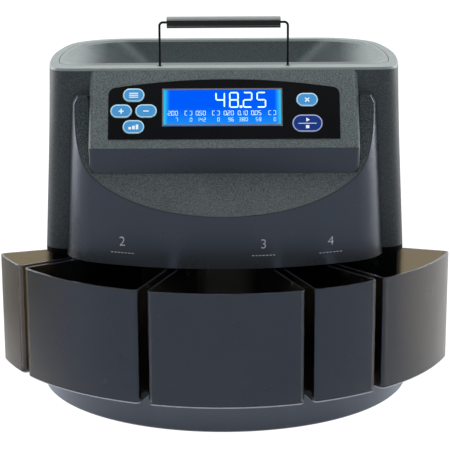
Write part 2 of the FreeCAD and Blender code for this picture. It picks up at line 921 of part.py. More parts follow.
def funnel_parts():
    """Hopper insert: flange in the rim's seat, a bowl, sloping walls and a throat above the sorting deck."""
    body = new_body("funnel")
    high = rim_z - deck_z
    bowl_z = high - s.bowl_depth
    wall = s.funnel_wall
    throat = s.throat_half

    def mouth(grow):
        return bowed_rect(new_sketch(body, lift=high), s.rim_width + s.mouth_side - grow,
                          -s.mouth_front - grow, s.mouth_corner + grow)

    def bowl(grow):
        return rounded_rect(new_sketch(body, lift=bowl_z), s.bowl_half + grow, -s.bowl_front - grow,
                            s.bowl_back + grow, s.bowl_corner + grow, s.bowl_corner + grow)

    def throat_outline(lift, grow):
        return rounded_rect(new_sketch(body, lift=lift), throat + grow, -throat - grow, throat + grow,
                            s.throat_corner + grow, s.throat_corner + grow)

    loft(body, throat_outline(s.throat_rise, wall), bowl(wall))
    loft(body, bowl(wall), mouth(wall))
    pad(body, throat_outline(s.throat_gap, wall), s.throat_rise - s.throat_gap)
    pad(body, seam(new_sketch(body, lift=high - s.rim_thick), s.seam_gap), s.rim_thick)
    loft(body, bowl(0), mouth(0), add=False)
    loft(body, throat_outline(s.throat_rise, 0), bowl(0), add=False)
    pocket(body, throat_outline(s.throat_gap, 0), s.throat_rise - s.throat_gap)
    place(body, 0, axis_y, deck_z)
    keep(body, "hopper_funnel")


class Tilt:
    """A frame turned about X: across, along its slope and out of it."""

    def __init__(self, y, z, run, rise):
        length = root(run * run + rise * rise)
        self.y = y
        self.z = z
        self.cos = run / length
        self.sin = rise / length
        self.angle = slope_angle(rise, run)

    def place(self, thing, across=0, along=0, out=0):
        y = self.y + self.cos * along - self.sin * out
        z = self.z + self.sin * along + self.cos * out
        return place(thing, across, y, z, X_AXIS, self.angle)

    def block(self, across, along, out):
        box = doc.addObject("Part::Box", "tilted_block")
        for field, (low, high) in zip(("Length", "Width", "Height"), (across, along, out)):
            bind(box, field, as_size(high) - low)
        return self.place(box, across[0], along[0], out[0])

    def rod(self, radius, across, along, out):
        cylinder = doc.addObject("Part::Cylinder", "tilted_rod")
        bind(cylinder, "Radius", radius)
        bind(cylinder, "Height", as_size(out[1]) - out[0])
        return self.place(cylinder, across, along, out[0])


face_top_y = axis_y - s.housing_front - s.console_gap
face = Tilt(face_top_y - s.face_run / 2, face_top_z - s.face_fall / 2, s.face_run, s.face_fall)

# Each button: name, place across and along the face, half width, half height
KEYS = [
    ("set_button", -s.key_left, s.set_rise, s.key_half_wide, s.key_half_high),
    ("plus_button", -s.key_left - s.key_spread, -s.middle_drop, s.key_half_wide, s.key_half_high),
    ("minus_button", -s.key_left + s.key_spread, -s.middle_drop, s.key_half_wide, s.key_half_high),
    ("batch_button", -s.key_left, -s.batch_drop, s.key_half_wide, s.key_half_high),
    ("clear_button", s.key_right, s.clear_rise, s.key_half_wide, s.key_half_high),
    ("start_button", s.key_right, -s.start_drop, s.start_half_wide, s.start_half_high),
]
flange_out = -s.console_wall - s.key_rest_gap
flange_in = flange_out - s.key_flange_thick


def stadium(body, out, half_wide, half_high):
    """A slot shape with half-round ends, on the body's own XY plane."""
    side = half_wide - half_high
    return outline(new_sketch(body, lift=out), [
        (-side, -half_high),
        (side, -half_high, side, 0, True),
        (side, half_high),
        (-side, half_high, -side, 0, True),
    ])


def key_hole(across, along, half_wide, half_high):
    body = new_body("key_hole")
    play = s.key_play
    sketch = stadium(body, -s.console_wall - MARGIN, half_wide + play, half_high + play)
    pad(body, sketch, s.console_wall + s.overlay_thick + MARGIN * 2)
    return face.place(body, across, along)


def button_parts():
    for name, across, along, half_wide, half_high in KEYS:
        body = new_body(name)
        top = s.overlay_thick + s.key_proud
        grow = s.key_flange
        pad(body, stadium(body, flange_in, half_wide + grow, half_high + grow), s.key_flange_thick)
        pad(body, stadium(body, flange_out, half_wide, half_high), top - flange_out)
        fillet(body, s.key_proud / 2, lambda middle, edge: level(edge, top.value))
        keep(face.place(body, across, along), name)


def console_solid(name, inset, half):
    """The console as a prism across X: sloping face, chin below it, flat foot and back.
    With an inset it is the room inside, open through the back."""
    body = new_body(name)
    wall = as_size(inset)
    sketch = new_sketch(body, "YZ_Plane", -half)
    face_slope = s.face_run / s.face_fall
    chin_slope = s.chin_run / s.chin_fall
    face_shift = wall * root(face_slope * face_slope + 1)
    chin_shift = wall * root(chin_slope * chin_slope + 1)
    back_y = face_top_y - axis_y
    nose_y = back_y - s.face_run
    nose_z = face_top_z - s.face_fall
    foot_z = nose_z - s.chin_fall + wall
    if wall.value > 0:
        back_y = back_y + MARGIN
    dip = (face_shift - chin_shift) / (face_slope + chin_slope)
    outline(sketch, [
        (back_y, foot_z),
        (back_y, nose_z + (back_y - nose_y - face_shift) / face_slope),
        (nose_y + face_shift - dip * face_slope, nose_z - dip),
        (nose_y + chin_shift + (nose_z - foot_z) * chin_slope, foot_z),
    ])
    pad(body, sketch, half * 2)
    return place(body, 0, axis_y, 0)


def chin_corner(side):
    """What is cut away to round one lower corner of the console, seen from the front."""
    radius = s.chin_corner
    foot_z = face_top_z - s.face_fall - s.chin_fall
    ys = (axis_y - s.apron_reach, axis_y - s.housing_front + MARGIN)
    middle_x = (s.console_half - radius) * side
    far_x = (s.console_half + MARGIN) * side
    xs = (middle_x, far_x) if side > 0 else (far_x, middle_x)
    corner = doc.addObject("Part::Cylinder", "corner")
    bind(corner, "Radius", radius)
    bind(corner, "Height", ys[1] - ys[0])
    place(corner, middle_x, ys[1], foot_z + radius, X_AXIS, 90)
    return cut(block(xs, ys, (foot_z - MARGIN, foot_z + radius)), corner)


def overlay_sheet():
    """Black panel: straight foot and sides, round shoulders, arched top."""
    body = new_body("overlay")
    half = s.overlay_half
    low = -s.overlay_low
    shoulder = s.overlay_high - s.overlay_fall
    side = half - s.overlay_corner
    turn = shoulder - s.overlay_corner
    arch = side * side / (s.overlay_fall * 2) + s.overlay_fall / 2
    sketch = outline(new_sketch(body), [
        (-half, low),
        (half, low),
        (half, turn, side, turn, True),
        (side, shoulder, 0, s.overlay_high - arch, True),
        (-side, shoulder, -side, turn, True),
        (-half, turn),
    ])
    pad(body, sketch, s.overlay_thick)
    return face.place(body)


def lcd_block(grow, out):
    half_wide = s.lcd_half_wide + grow
    half_high = s.lcd_half_high + grow
    return face.block((-s.lcd_left - half_wide, -s.lcd_left + half_wide),
                      (s.lcd_rise - half_high, s.lcd_rise + half_high), out)


def console_parts():
    """Console shell, its panel and what sits behind it."""
    outer = console_solid("console", 0, s.console_half)
    back_y = face_top_y.value - axis_y.value

    def side_edge(middle, edge):
        return abs(middle.x) > s.console_half.value - TOUCH and middle.y < back_y - TOUCH

    fillet(outer, s.console_round, side_edge)
    room = console_solid("console_room", s.console_wall, s.console_half - s.console_wall)
    gap = s.console_gap
    way = console_window(s.console_half + gap, (console_seat_z + gap, apron_z + MARGIN), MARGIN)
    behind = cut(apron_prism("console_seat", 0, (core_top, apron_z)), scoop(s.scoop_radius - gap), way)
    through = (-s.console_wall - MARGIN, s.overlay_thick + MARGIN)
    holes = [key_hole(across, along, wide, high) for _, across, along, wide, high in KEYS]
    corners = [chin_corner(side) for side in (-1, 1)]
    keep(cut(outer, room, behind, *corners, lcd_block(-s.lcd_lip, through), *holes), "console_shell")
    keep(cut(overlay_sheet(), lcd_block(0, through), *holes), "console_overlay")
    keep(lcd_block(-s.window_gap, (0, s.overlay_thick)), "lcd_window")
    board_out = -s.board_depth
    keep(lcd_block(s.lcd_frame, (board_out, flange_out)), "lcd_module")
    keep(face.block((-s.board_half_wide, s.board_half_wide), (-s.board_half_high, s.board_half_high),
                    (board_out - s.board_thick, board_out)), "display_board")
    mat_out = board_out + s.mat_thick
    dome_out = flange_in - s.key_travel - s.dome_gap
    pieces = []
    for middle in (-s.key_left, s.key_right):
        pieces.append(face.block((middle - s.mat_half_wide, middle + s.mat_half_wide),
                                 (-s.mat_half_high, s.mat_half_high), (board_out, mat_out)))
    for _, across, along, _, _ in KEYS:
        pieces.append(face.rod(s.dome_radius, across, along, (mat_out, dome_out)))
    keep(fuse(*pieces), "keypad_mat")


def handle_parts():
    """Bent wire that slides in two bushes, a grip on its bar and a stop on each leg."""
    top_z = rim_z + s.handle_rise
    bush_z = rim_z - s.bush_length
    stop_z = bush_z - s.end_gap
    leg_z = stop_z - s.stop_length
    leg = s.leg_half
    bend = s.handle_bend
    body = new_body("wire")
    path = outline(new_sketch(body, "XZ_Plane"), [
        (-leg, leg_z),
        (-leg, top_z - bend, bend - leg, top_z - bend, False),
        (bend - leg, top_z),
        (leg - bend, top_z, leg - bend, top_z - bend, False),
        (leg, top_z - bend),
        (leg, leg_z),
    ], closed=False)
    profile = ring(new_sketch(body, lift=leg_z), -leg, 0, s.wire_radius)
    pipe = body.newObject("PartDesign::AdditivePipe", "pipe")
    pipe.Profile = profile
    pipe.Spine = (path, [])
    keep(place(body, 0, axis_y - s.leg_front, 0), "handle_wire")
    grip = new_body("grip")
    half_high = s.grip_high / 2
    section = rounded_rect(new_sketch(grip, "YZ_Plane", -s.grip_half), s.grip_deep / 2, -half_high, half_high,
                           s.grip_round, s.grip_round)
    ring(section, 0, 0, s.wire_radius + s.fixed_gap)
    pad(grip, section, s.grip_half * 2)
    keep(place(grip, 0, axis_y - s.leg_front, top_z), "handle_grip")
    bore = s.wire_radius + s.running_gap
    keep(fuse(*[tube(s.bush_radius, bore, (bush_z, rim_z), x, y) for x, y in leg_places()]), "handle_bushes")
    hold = s.wire_radius + s.fixed_gap
    keep(fuse(*[tube(s.stop_radius, hold, (leg_z, stop_z), x, y) for x, y in leg_places()]), "handle_stops")


def opening_places():
    """Middle and radius of the opening over each bin, and the sine and cosine of its bearing."""
    for coin, left, right in zip(coins, bin_edges, bin_edges[1:]):
        bearing = (left + right) / 2
        radius = (coin + s.coin_play) / 2
        reach = s.rail_radius - radius
        yield bearing, radius, reach


bush_outer = s.shaft_radius + s.running_gap + s.bush_wall


def deck_parts():
    """Sorting deck on its pillars, with the guide rail and one sensor per opening."""
    plate = new_body("deck")
    inset = s.housing_wall + s.deck_gap
    housing_foot(new_sketch(plate), inset)
    pad(plate, plate.Group[-1], s.deck_thick)
    place(plate, 0, axis_y, core_top)
    deck = (core_top, deck_z)
    half = s.sort_window_half - s.deck_gap
    bow = common(apron_prism("deck_bow", s.cover_wall + s.deck_gap, deck),
                 block((-half, half), (axis_y - s.apron_reach, axis_y), (core_top - MARGIN, deck_z + MARGIN)))
    neck_y = (axis_y - s.housing_front - MARGIN, axis_y - s.housing_front + inset + MARGIN)
    neck = block((-half, half), neck_y, deck)
    boss = rod(bush_outer + s.boss_wall, (core_top - s.deck_boss, deck_z), 0, axis_y)
    through = (core_top - s.deck_boss - MARGIN, deck_z + MARGIN)
    holes = [rod(bush_outer + s.fixed_gap, through, 0, axis_y)]
    sensors = []
    sensor_z = deck_z + s.sensor_high
    sensor_radius = s.rail_radius + s.rail_wall + s.sensor_gap
    for bearing, radius, reach in opening_places():
        out_x = sine(bearing)
        out_y = -cosine(bearing)
        holes.append(rod(radius, through, out_x * reach, axis_y + out_y * reach))
        sensor = doc.addObject("Part::Box", "sensor")
        bind(sensor, "Length", s.sensor_depth)
        bind(sensor, "Width", s.sensor_wide)
        bind(sensor, "Height", sensor_z - deck_z)
        half_wide = s.sensor_wide / 2
        x = out_x * sensor_radius + out_y * half_wide
        y = axis_y + out_y * sensor_radius - out_x * half_wide
        sensors.append(place(sensor, x, y, deck_z, Z_AXIS, bearing - 90))
    pillars = []
    screws = []
    tapped = s.screw_radius + s.fit_play
    for x, y in pillar_places():
        holes.append(rod(tapped, through, x, y))
        pillars.append(tube(s.pillar_radius, tapped, (floor_z, core_top), x, y))
        shank = rod(s.screw_radius, (core_top - s.screw_reach, deck_z), x, y)
        screws.append(fuse(shank, rod(s.screw_head, (deck_z, deck_z + s.screw_head_high), x, y)))
    keep(cut(fuse(plate, bow, neck, boss), *holes), "sort_deck")
    keep(fuse(*pillars), "deck_pillars")
    keep(fuse(*screws), "deck_screws")
    keep(fuse(*sensors), "coin_sensors")
    rail_z = (deck_z, deck_z + s.rail_height)
    rail = sector(s.rail_radius + s.rail_wall, rail_z, axis_y, -90 - s.rail_left, s.rail_left + s.rail_right)
    keep(cut(rail, rod(s.rail_radius, (core_top, rail_z[1] + MARGIN), 0, axis_y)), "coin_rail")


def sorter_parts():
    """Shaft in two bushes, with the fingered rotor, cone, collar and gear that turn with it."""
    rotor_z = deck_z + s.end_gap
    rotor_top = rotor_z + s.rotor_thick
    bore = s.shaft_radius + s.fixed_gap
    hub = rod(s.rotor_radius, (rotor_z, rotor_top), 0, axis_y)
    fingers = []
    finger_half = s.finger_wide / 2
    for index in range(round(s.finger_count.value)):
        finger = doc.addObject("Part::Box", "finger")
        bind(finger, "Length", s.rail_radius - s.finger_clear)
        bind(finger, "Width", s.finger_wide)
        bind(finger, "Height", s.finger_thick)
        turn = s.finger_start + index * 360 / s.finger_count
        fingers.append(place(finger, sine(turn) * finger_half, axis_y - cosine(turn) * finger_half, rotor_z,
                             Z_AXIS, turn))
    shaft_hole = rod(bore, (rotor_z - MARGIN, rotor_top + MARGIN), 0, axis_y)
    keep(cut(fuse(hub, *fingers), shaft_hole), "sort_rotor")
    cone = doc.addObject("Part::Cone", "cone")
    bind(cone, "Radius1", s.cone_radius)
    bind(cone, "Radius2", s.cone_tip)
    bind(cone, "Height", s.cone_high)
    keep(place(cone, 0, axis_y, rotor_top), "feed_cone")
    shaft_z = plate_z - s.plate_boss
    keep(rod(s.shaft_radius, (shaft_z, rotor_top), 0, axis_y), "drive_shaft")
    collar_top = core_top - s.deck_boss - s.end_gap
    keep(tube(s.collar_radius, bore, (collar_top - s.collar_high, collar_top), 0, axis_y), "shaft_collar")
    running = s.shaft_radius + s.running_gap
    keep(tube(bush_outer, running, (core_top - s.deck_boss, deck_z), 0, axis_y), "upper_bush")
    keep(tube(bush_outer, running, (shaft_z, plate_z + s.plate_thick), 0, axis_y), "lower_bush")


def gear_solid(label, teeth, width, bore, hub, hub_depth, tooth_phase):
    """A spur gear with involute teeth, and a hub below it. The first tooth is at tooth_phase of a pitch
    from +Y."""
    module = s.gear_module.value
    pressure = math.radians(PRESSURE_ANGLE)
    pitch = module * teeth / 2
    tip = pitch + module
    foot = pitch - TOOTH_FOOT * module
    base = pitch * math.cos(pressure)
    half = (math.pi * module - s.gear_backlash.value) / 4 / pitch
    involute = math.tan(pressure) - pressure

    def flank(radius):
        if radius <= base:
            return half + involute
        angle = math.acos(base / radius)
        return half + involute - math.tan(angle) + angle

    def spot(radius, angle):
        return FreeCAD.Vector(-radius * math.sin(angle), radius * math.cos(angle), 0)

    start = max(base, foot)
    radii = [start + (tip - start) * step / FLANK_STEPS for step in range(FLANK_STEPS + 1)]
    step_angle = 2 * math.pi / teeth
    edges = []
    for tooth in range(teeth):
        middle = (tooth + tooth_phase) * step_angle
        left = [spot(radius, middle - flank(radius)) for radius in radii]
        right = [spot(radius, middle + flank(radius)) for radius in reversed(radii)]
        low_left = spot(foot, middle - flank(start))
        low_right = spot(foot, middle + flank(start))
        if foot < start:
            edges.append(Part.makeLine(low_left, left[0]))
        for side in (left, right):
            curve = Part.BSplineCurve()
            curve.interpolate(side)
            if side is right:
                edges.append(Part.Arc(left[-1], spot(tip, middle), right[0]).toShape())
            edges.append(curve.toShape())
        if foot < start:
            edges.append(Part.makeLine(right[-1], low_right))
        following = spot(foot, middle + step_angle - flank(start))
        edges.append(Part.Arc(low_right, spot(foot, middle + step_angle / 2), following).toShape())
    blank = Part.Face(Part.Wire(edges)).extrude(FreeCAD.Vector(0, 0, width.value))
    if hub_depth is not None:
        depth = hub_depth.value
        blank = blank.fuse(Part.makeCylinder(hub.value, depth, FreeCAD.Vector(0, 0, -depth)))
    hole = Part.makeCylinder(bore.value, tip * 2, FreeCAD.Vector(0, 0, -tip))
    gear = doc.addObject("Part::Feature", label)
    gear.Shape = blank.cut(hole).removeSplitter()
    return gear


def drive_parts():
    """Motor on a plate that hangs from the deck, with the gear pair above the plate."""
    plate_top = plate_z + s.plate_thick
    motor_at = axis_y + motor_y
    posts = []
    for side in (-1, 1):
        posts.append((s.post_side * side, axis_y - s.post_front))
        posts.append((s.post_side * side, axis_y + s.post_rear))
    keep(fuse(*[rod(s.post_radius, (plate_top, core_top), x, y) for x, y in posts]), "drive_posts")
    half = s.post_side + s.plate_margin
    ys = (axis_y - s.post_front - s.plate_margin, axis_y + s.post_rear + s.plate_margin)
    plate = block((-half, half), ys, (plate_z, plate_top))
    boss_z = plate_z - s.plate_boss
    boss = rod(bush_outer + s.boss_wall, (boss_z, plate_top), 0, axis_y)
    through = (boss_z - MARGIN, plate_top + MARGIN)
    shaft_way = rod(s.motor_shaft_radius + s.motor_boss_gap, through, 0, motor_at)
    holes = [rod(bush_outer + s.fixed_gap, through, 0, axis_y), shaft_way]
    screw_places = []
    for index in range(MOTOR_SCREWS):
        angle = s.motor_screw_turn + index * 360 / MOTOR_SCREWS
        across = cosine(angle) * s.motor_screw_circle
        screw_places.append((across, motor_at + sine(angle) * s.motor_screw_circle))
    tapped = s.screw_radius + s.fit_play
    screw_low = plate_z - s.screw_reach
    screw_holes = [rod(tapped, (screw_low - MARGIN, plate_top + MARGIN), x, y) for x, y in screw_places]
    keep(cut(fuse(plate, boss), *holes, *screw_holes), "motor_plate")
    screws = []
    for x, y in screw_places:
        head = rod(s.screw_head, (plate_top, plate_top + s.screw_head_high), x, y)
        screws.append(fuse(rod(s.screw_radius, (screw_low, plate_top), x, y), head))
    keep(fuse(*screws), "motor_screws")
    gearbox_z = plate_z - s.gearbox_high
    gearbox = rod(s.motor_radius, (gearbox_z, plate_z), 0, motor_at)
    can = rod(s.motor_can_radius, (gearbox_z - s.motor_can_high, gearbox_z), 0, motor_at)
    socket_z = plate_z - s.motor_shaft_depth
    socket = rod(s.motor_shaft_radius + s.running_gap, (socket_z - s.end_gap, plate_z + MARGIN), 0, motor_at)
    keep(cut(fuse(gearbox, can), socket, *screw_holes), "drive_motor")
    gear_z = plate_top + s.gear_lift
    pinion_top = gear_z + s.gear_wide + s.pinion_extra
    keep(rod(s.motor_shaft_radius, (socket_z, pinion_top), 0, motor_at), "motor_shaft")
    gear = gear_solid("drive_gear", round(s.gear_teeth.value), s.gear_wide, s.shaft_radius + s.fixed_gap,
                      s.gear_hub, s.gear_lift - s.end_gap, 0)
    keep(place(gear, 0, axis_y, gear_z), "drive_gear")
    pinion = gear_solid("motor_pinion", round(s.pinion_teeth.value), s.gear_wide + s.pinion_extra * 2,
                        s.motor_shaft_radius + s.fixed_gap, None, None, s.pinion_teeth.value / 2 + 0.5)
    keep(place(pinion, 0, motor_at, gear_z - s.pinion_extra), "motor_pinion")


def board_parts():
    """Main board on standoffs and the power supply, on the floor of the base."""
    board_z = floor_z + s.standoff_high
    ys = (axis_y + s.main_front, axis_y + s.main_back)
    keep(block((-s.main_far, -s.main_near), ys, (board_z, board_z + s.board_thick)), "main_board")
    edge = s.standoff_margin
    standoffs = []
    for x in (-s.main_far + edge, -s.main_near - edge):
        for y in (ys[0] + edge, ys[1] - edge):
            standoffs.append(rod(s.standoff_radius, (floor_z, board_z), x, y))
    keep(fuse(*standoffs), "board_standoffs")
    keep(block((s.supply_near, s.supply_far), (axis_y + s.supply_front, axis_y + s.supply_back),
               (floor_z, floor_z + s.supply_high)), "power_supply")


def panel_box(side, wide, high, ys):
    middle_z = shelf_z + s.inlet_rise
    return block((side - wide / 2, side + wide / 2), ys, (middle_z - high / 2, middle_z + high / 2))


def power_parts():
    """Mains inlet with its pins, and the rocker switch beside it, in the back of the core."""
    back = axis_y + core_back
    middle_z = shelf_z + s.inlet_rise
    lip = s.panel_flange
    out = back + s.inlet_rim
    body = panel_box(s.inlet_side, s.inlet_wide, s.inlet_high, (back - s.inlet_deep, out))
    flange = panel_box(s.inlet_side, s.inlet_wide + lip * 2, s.inlet_high + lip * 2, (back, out))
    wall = s.inlet_wall * 2
    socket_back = out - s.inlet_socket
    socket = panel_box(s.inlet_side, s.inlet_wide - wall, s.inlet_high - wall, (socket_back, out + MARGIN))
    keep(cut(fuse(body, flange), socket), "power_inlet")
    pins = []
    for shift, drop in ((-1, 1), (0, -1), (1, 1)):
        x = s.inlet_side + s.pin_spread * shift
        z = middle_z - s.pin_drop * drop
        pins.append(block((x - s.pin_wide / 2, x + s.pin_wide / 2), (socket_back, socket_back + s.pin_reach),
                          (z - s.pin_high / 2, z + s.pin_high / 2)))
    keep(fuse(*pins), "inlet_pins")
    switch = panel_box(s.switch_side, s.switch_wide, s.switch_high, (back - s.switch_deep, out))
    frame = panel_box(s.switch_side, s.switch_wide + lip * 2, s.switch_high + lip * 2, (back, out))
    wall = s.switch_wall * 2
    room = panel_box(s.switch_side, s.switch_wide - wall, s.switch_high - wall,
                     (back - s.switch_deep + s.switch_wall, out + MARGIN))
    pivot_y = out - s.rocker_deep / 2
    half_room = s.switch_wide / 2 - s.switch_wall
    pin_end = half_room + s.switch_wall / 2
    hole_end = pin_end + s.end_gap
    hole_xs = (s.switch_side - hole_end, s.switch_side + hole_end)
    pin_hole = cross_rod(s.rocker_pin + s.running_gap, hole_xs, pivot_y, middle_z)
    keep(cut(fuse(switch, frame), room, pin_hole), "switch_housing")
    half_wide = half_room - s.rocker_play
    swing = s.rocker_deep / 2 * sine(s.rocker_tilt) + s.rocker_play
    half_high = s.switch_high / 2 - s.switch_wall - swing
    rocker = doc.addObject("Part::Box", "rocker")
    bind(rocker, "Length", half_wide * 2)
    bind(rocker, "Width", s.rocker_deep)
    bind(rocker, "Height", half_high * 2)
    deep = s.rocker_deep / 2
    cos_tilt = cosine(s.rocker_tilt)
    sin_tilt = sine(s.rocker_tilt)
    place(rocker, s.switch_side - half_wide, pivot_y - deep * cos_tilt + half_high * sin_tilt,
          middle_z - deep * sin_tilt - half_high * cos_tilt, X_AXIS, s.rocker_tilt)
    pin = cross_rod(s.rocker_pin, (s.switch_side - pin_end, s.switch_side + pin_end), pivot_y, middle_z)
    keep(fuse(rocker, pin), "switch_rocker")


def check_document():
    """Stop if any object failed or any sub-part is missing or not a valid solid."""
    for thing in doc.Objects:
        if "Invalid" in thing.State or "Error" in thing.State:
            raise ValueError(f"{thing.Name} ({thing.Label}) did not build: {thing.State}")
    for part in PARTS:
        shape = part.Shape
        if shape.isNull() or not shape.isValid() or not shape.Solids:
            raise ValueError(f"{part.Label} is not a valid solid")


def main():
    base_parts()
    core_parts()
    bin_parts()
    cover_parts()
    housing_parts()
    funnel_parts()
    console_parts()
    button_parts()
    handle_parts()
    deck_parts()
    sorter_parts()
    drive_parts()
    board_parts()
    power_parts()
    doc.recompute()
    check_document()
    os.makedirs("parts", exist_ok=True)
    for part in PARTS:
        part.Shape.exportStep(f"parts/{part.Label}.step")
        box = part.Shape.BoundBox
        low = [round(value, 1) for value in (box.XMin, box.YMin, box.ZMin)]
        high = [round(value, 1) for value in (box.XMax, box.YMax, box.ZMax)]
        print(f"{part.Label}: {len(part.Shape.Solids)} solids, {low} to {high}")


main()
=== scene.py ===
import json
import math

import bmesh
import bpy
from mathutils import Matrix, Vector

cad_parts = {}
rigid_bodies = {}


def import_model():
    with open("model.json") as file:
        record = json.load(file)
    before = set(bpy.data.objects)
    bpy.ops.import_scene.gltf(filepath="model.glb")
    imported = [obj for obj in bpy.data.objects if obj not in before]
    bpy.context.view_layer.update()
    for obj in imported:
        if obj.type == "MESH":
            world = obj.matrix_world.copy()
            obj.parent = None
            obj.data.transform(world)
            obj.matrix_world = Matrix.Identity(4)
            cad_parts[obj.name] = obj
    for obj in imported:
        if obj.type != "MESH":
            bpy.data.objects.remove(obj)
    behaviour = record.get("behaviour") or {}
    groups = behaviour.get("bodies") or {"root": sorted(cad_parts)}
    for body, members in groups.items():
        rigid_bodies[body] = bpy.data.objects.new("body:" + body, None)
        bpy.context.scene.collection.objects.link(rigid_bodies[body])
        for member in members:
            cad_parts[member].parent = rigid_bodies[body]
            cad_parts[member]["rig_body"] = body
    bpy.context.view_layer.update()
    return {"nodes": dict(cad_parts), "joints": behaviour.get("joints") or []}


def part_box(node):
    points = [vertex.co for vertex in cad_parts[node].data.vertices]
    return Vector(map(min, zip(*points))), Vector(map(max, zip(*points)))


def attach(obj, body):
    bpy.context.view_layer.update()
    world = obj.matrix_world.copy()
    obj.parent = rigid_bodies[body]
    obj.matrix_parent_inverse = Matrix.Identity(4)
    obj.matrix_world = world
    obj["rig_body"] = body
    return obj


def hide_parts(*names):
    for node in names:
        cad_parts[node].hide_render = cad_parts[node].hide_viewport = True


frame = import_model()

bl_info = {
    "name": "Coin sorting machine",
    "version": (1, 0, 0),
    "blender": (4, 5, 0),
    "location": "View3D > Sidebar > Coin sorter",
    "description": "Dresses the packed coin sorting machine with its finishes, keys, display and fittings",
    "category": "Object",
}

MM = 0.001


def middle_of(cad_node):
    """The middle of a CAD node's box."""
    low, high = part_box(cad_node)
    return (low + high) / 2


# The console's sloping face: the way out of it is against the keys' travel
KEY_TRAVEL = next(joint for joint in frame["joints"] if joint["name"] == "set_button_press")
FACE_OUT = -Vector(KEY_TRAVEL["axis"]).normalized()
FACE_UP = Vector((0, FACE_OUT.z, -FACE_OUT.y))
FACE_TURN = math.atan2(FACE_UP.z, FACE_UP.y)
# How far the panel and the keys stand out of that face
PANEL_TOP = 0.8 * MM
KEY_TOP = 1.6 * MM
FACE_MIDDLE = middle_of("console_overlay") - FACE_OUT * PANEL_TOP / 2

# The round hollow across the front cover: its axis runs along X
SCOOP_Y = -157.8 * MM
SCOOP_Z = 246.4 * MM
SCOOP_RADIUS = 104 * MM

# Points this near are one, and faces of a copied mesh this level are one flat
ONE_POINT = 0.002 * MM
ONE_FLAT = math.radians(0.3)
# Edges over the first angle are rounded, and edges under the second are shaded smooth
SHARP_EDGE = math.radians(28)
SMOOTH_EDGE = math.radians(32)


def linear(hex_colour):
    """An sRGB hex colour as the linear values that shaders read."""

    def channel(pair):
        value = int(pair, 16) / 255
        return value / 12.92 if value <= 0.04045 else ((value + 0.055) / 1.055) ** 2.4

    return tuple(channel(hex_colour[start:start + 2]) for start in (1, 3, 5))


def colour_setting(name, description, hex_colour):
    return bpy.props.FloatVectorProperty(name=name, description=description, subtype="COLOR", size=3,
                                         min=0, max=1, default=linear(hex_colour))


def length_setting(name, description, millimetres):
    return bpy.props.FloatProperty(name=name, description=description, subtype="DISTANCE", unit="LENGTH",
                                   default=millimetres * MM)


class CasingSettings(bpy.types.PropertyGroup):
    """Colours and edges of the moulded casing."""

    # Darker than the console's grey of the same plastic, as painted shade under the rim
    housing: colour_setting("Housing", "Textured plastic of the upper casing", "#333a3e")
    # The rim's pale grey is a painted highlight of the light from above on the rim
    rim: colour_setting("Rim", "Smooth plastic of the rim", "#767f7f")
    # Darker than the console's grey of the same plastic, as painted shade where the console shades the hollow
    hollow: colour_setting("Hollow", "Textured plastic of the hollow in the front", "#2d3539")
    apron: colour_setting("Apron", "Satin plastic of the bowed front", "#23282f")
    base: colour_setting("Base", "Satin plastic of the base", "#666e7a")
    core: colour_setting("Core", "Black plastic behind the bins", "#030304")
    marks: colour_setting("Marks", "Printed bin numbers", "#c4c8d0")
    grit: length_setting("Texture grit", "Width of one grain of the moulded texture", 0.9)
    edge: length_setting("Edge", "Rounding of the moulded edges", 0.6)


class BinSettings(bpy.types.PropertyGroup):
    """Look of the pull-out bins."""

    tint: colour_setting("Tint", "What one wall of the smoked plastic lets through", "#7a705d")
    # A pale colour painted on the bins' foot edge as a highlight
    foot_highlight: colour_setting("Edge light", "Pale glow in the eased foot edge", "#9a9eac")
    edge: length_setting("Edge", "Rounding of the bins' edges", 0.5)


class ConsoleSettings(bpy.types.PropertyGroup):
    """Display, panel and keys."""

    # Paler than the housing's grey of the same plastic, as painted light on the sloping face
    shell: colour_setting("Shell", "Textured plastic of the console", "#4c5557")
    panel: colour_setting("Panel", "Printed sheet round the display", "#08090c")
    bezel: colour_setting("Bezel", "Frame of the display", "#4b505c")
    glow: colour_setting("Backlight", "Middle of the display", "#005cff")
    glow_edge: colour_setting("Backlight edge", "Brighter ends of the display", "#34d4f4")
    digits: colour_setting("Digits", "Lit segments", "#c8f0fc")
    key: colour_setting("Key", "Keys", "#3a93d3")
    key_rim: colour_setting("Key rim", "Pale ring round a key", "#b4dcee")
    sign: colour_setting("Sign", "Signs on the keys", "#eef6fa")
    start: colour_setting("Start key", "Start and stop key", "#0a3180")
    start_rim: colour_setting("Start key rim", "Pale ring round the start key", "#9ba6cc")
    rim: length_setting("Rim width", "Width of the ring round a key", 0.55)


class FittingSettings(bpy.types.PropertyGroup):
    """Handle and small fittings."""

    wire: colour_setting("Wire", "Black wire of the handle", "#08090a")
    grip: colour_setting("Grip", "Plastic of the grip", "#0b0b0d")
    # Pale colour painted on the grip's top band and parting line as a highlight
    worn: colour_setting("Worn grip", "Plastic of the grip where hands rub it", "#737878")
    grip_line: length_setting("Grip line", "Height of the parting line above the grip's foot", 1.5)


class StageSettings(bpy.types.PropertyGroup):
    """Camera, light and floor."""

    floor: colour_setting("Floor", "Pale floor", "#d4d4d4")
    camera_y: length_setting("Camera Y", "Camera's place along Y", -1313.4)
    camera_z: length_setting("Camera Z", "Camera's height", 440.5)
    pitch: bpy.props.FloatProperty(name="Pitch", description="How far the camera looks down",
                                   subtype="ANGLE", unit="ROTATION", default=0.2289)
    roll: bpy.props.FloatProperty(name="Roll", description="How far the camera leans",
                                  subtype="ANGLE", unit="ROTATION", default=0.005)
    lens: bpy.props.FloatProperty(name="Lens", description="Focal length on a 36 mm sensor, in millimetres",
                                  subtype="DISTANCE_CAMERA", unit="CAMERA", default=131.2)


# Shaders

# Every finish, by its name
FINISHES = {}


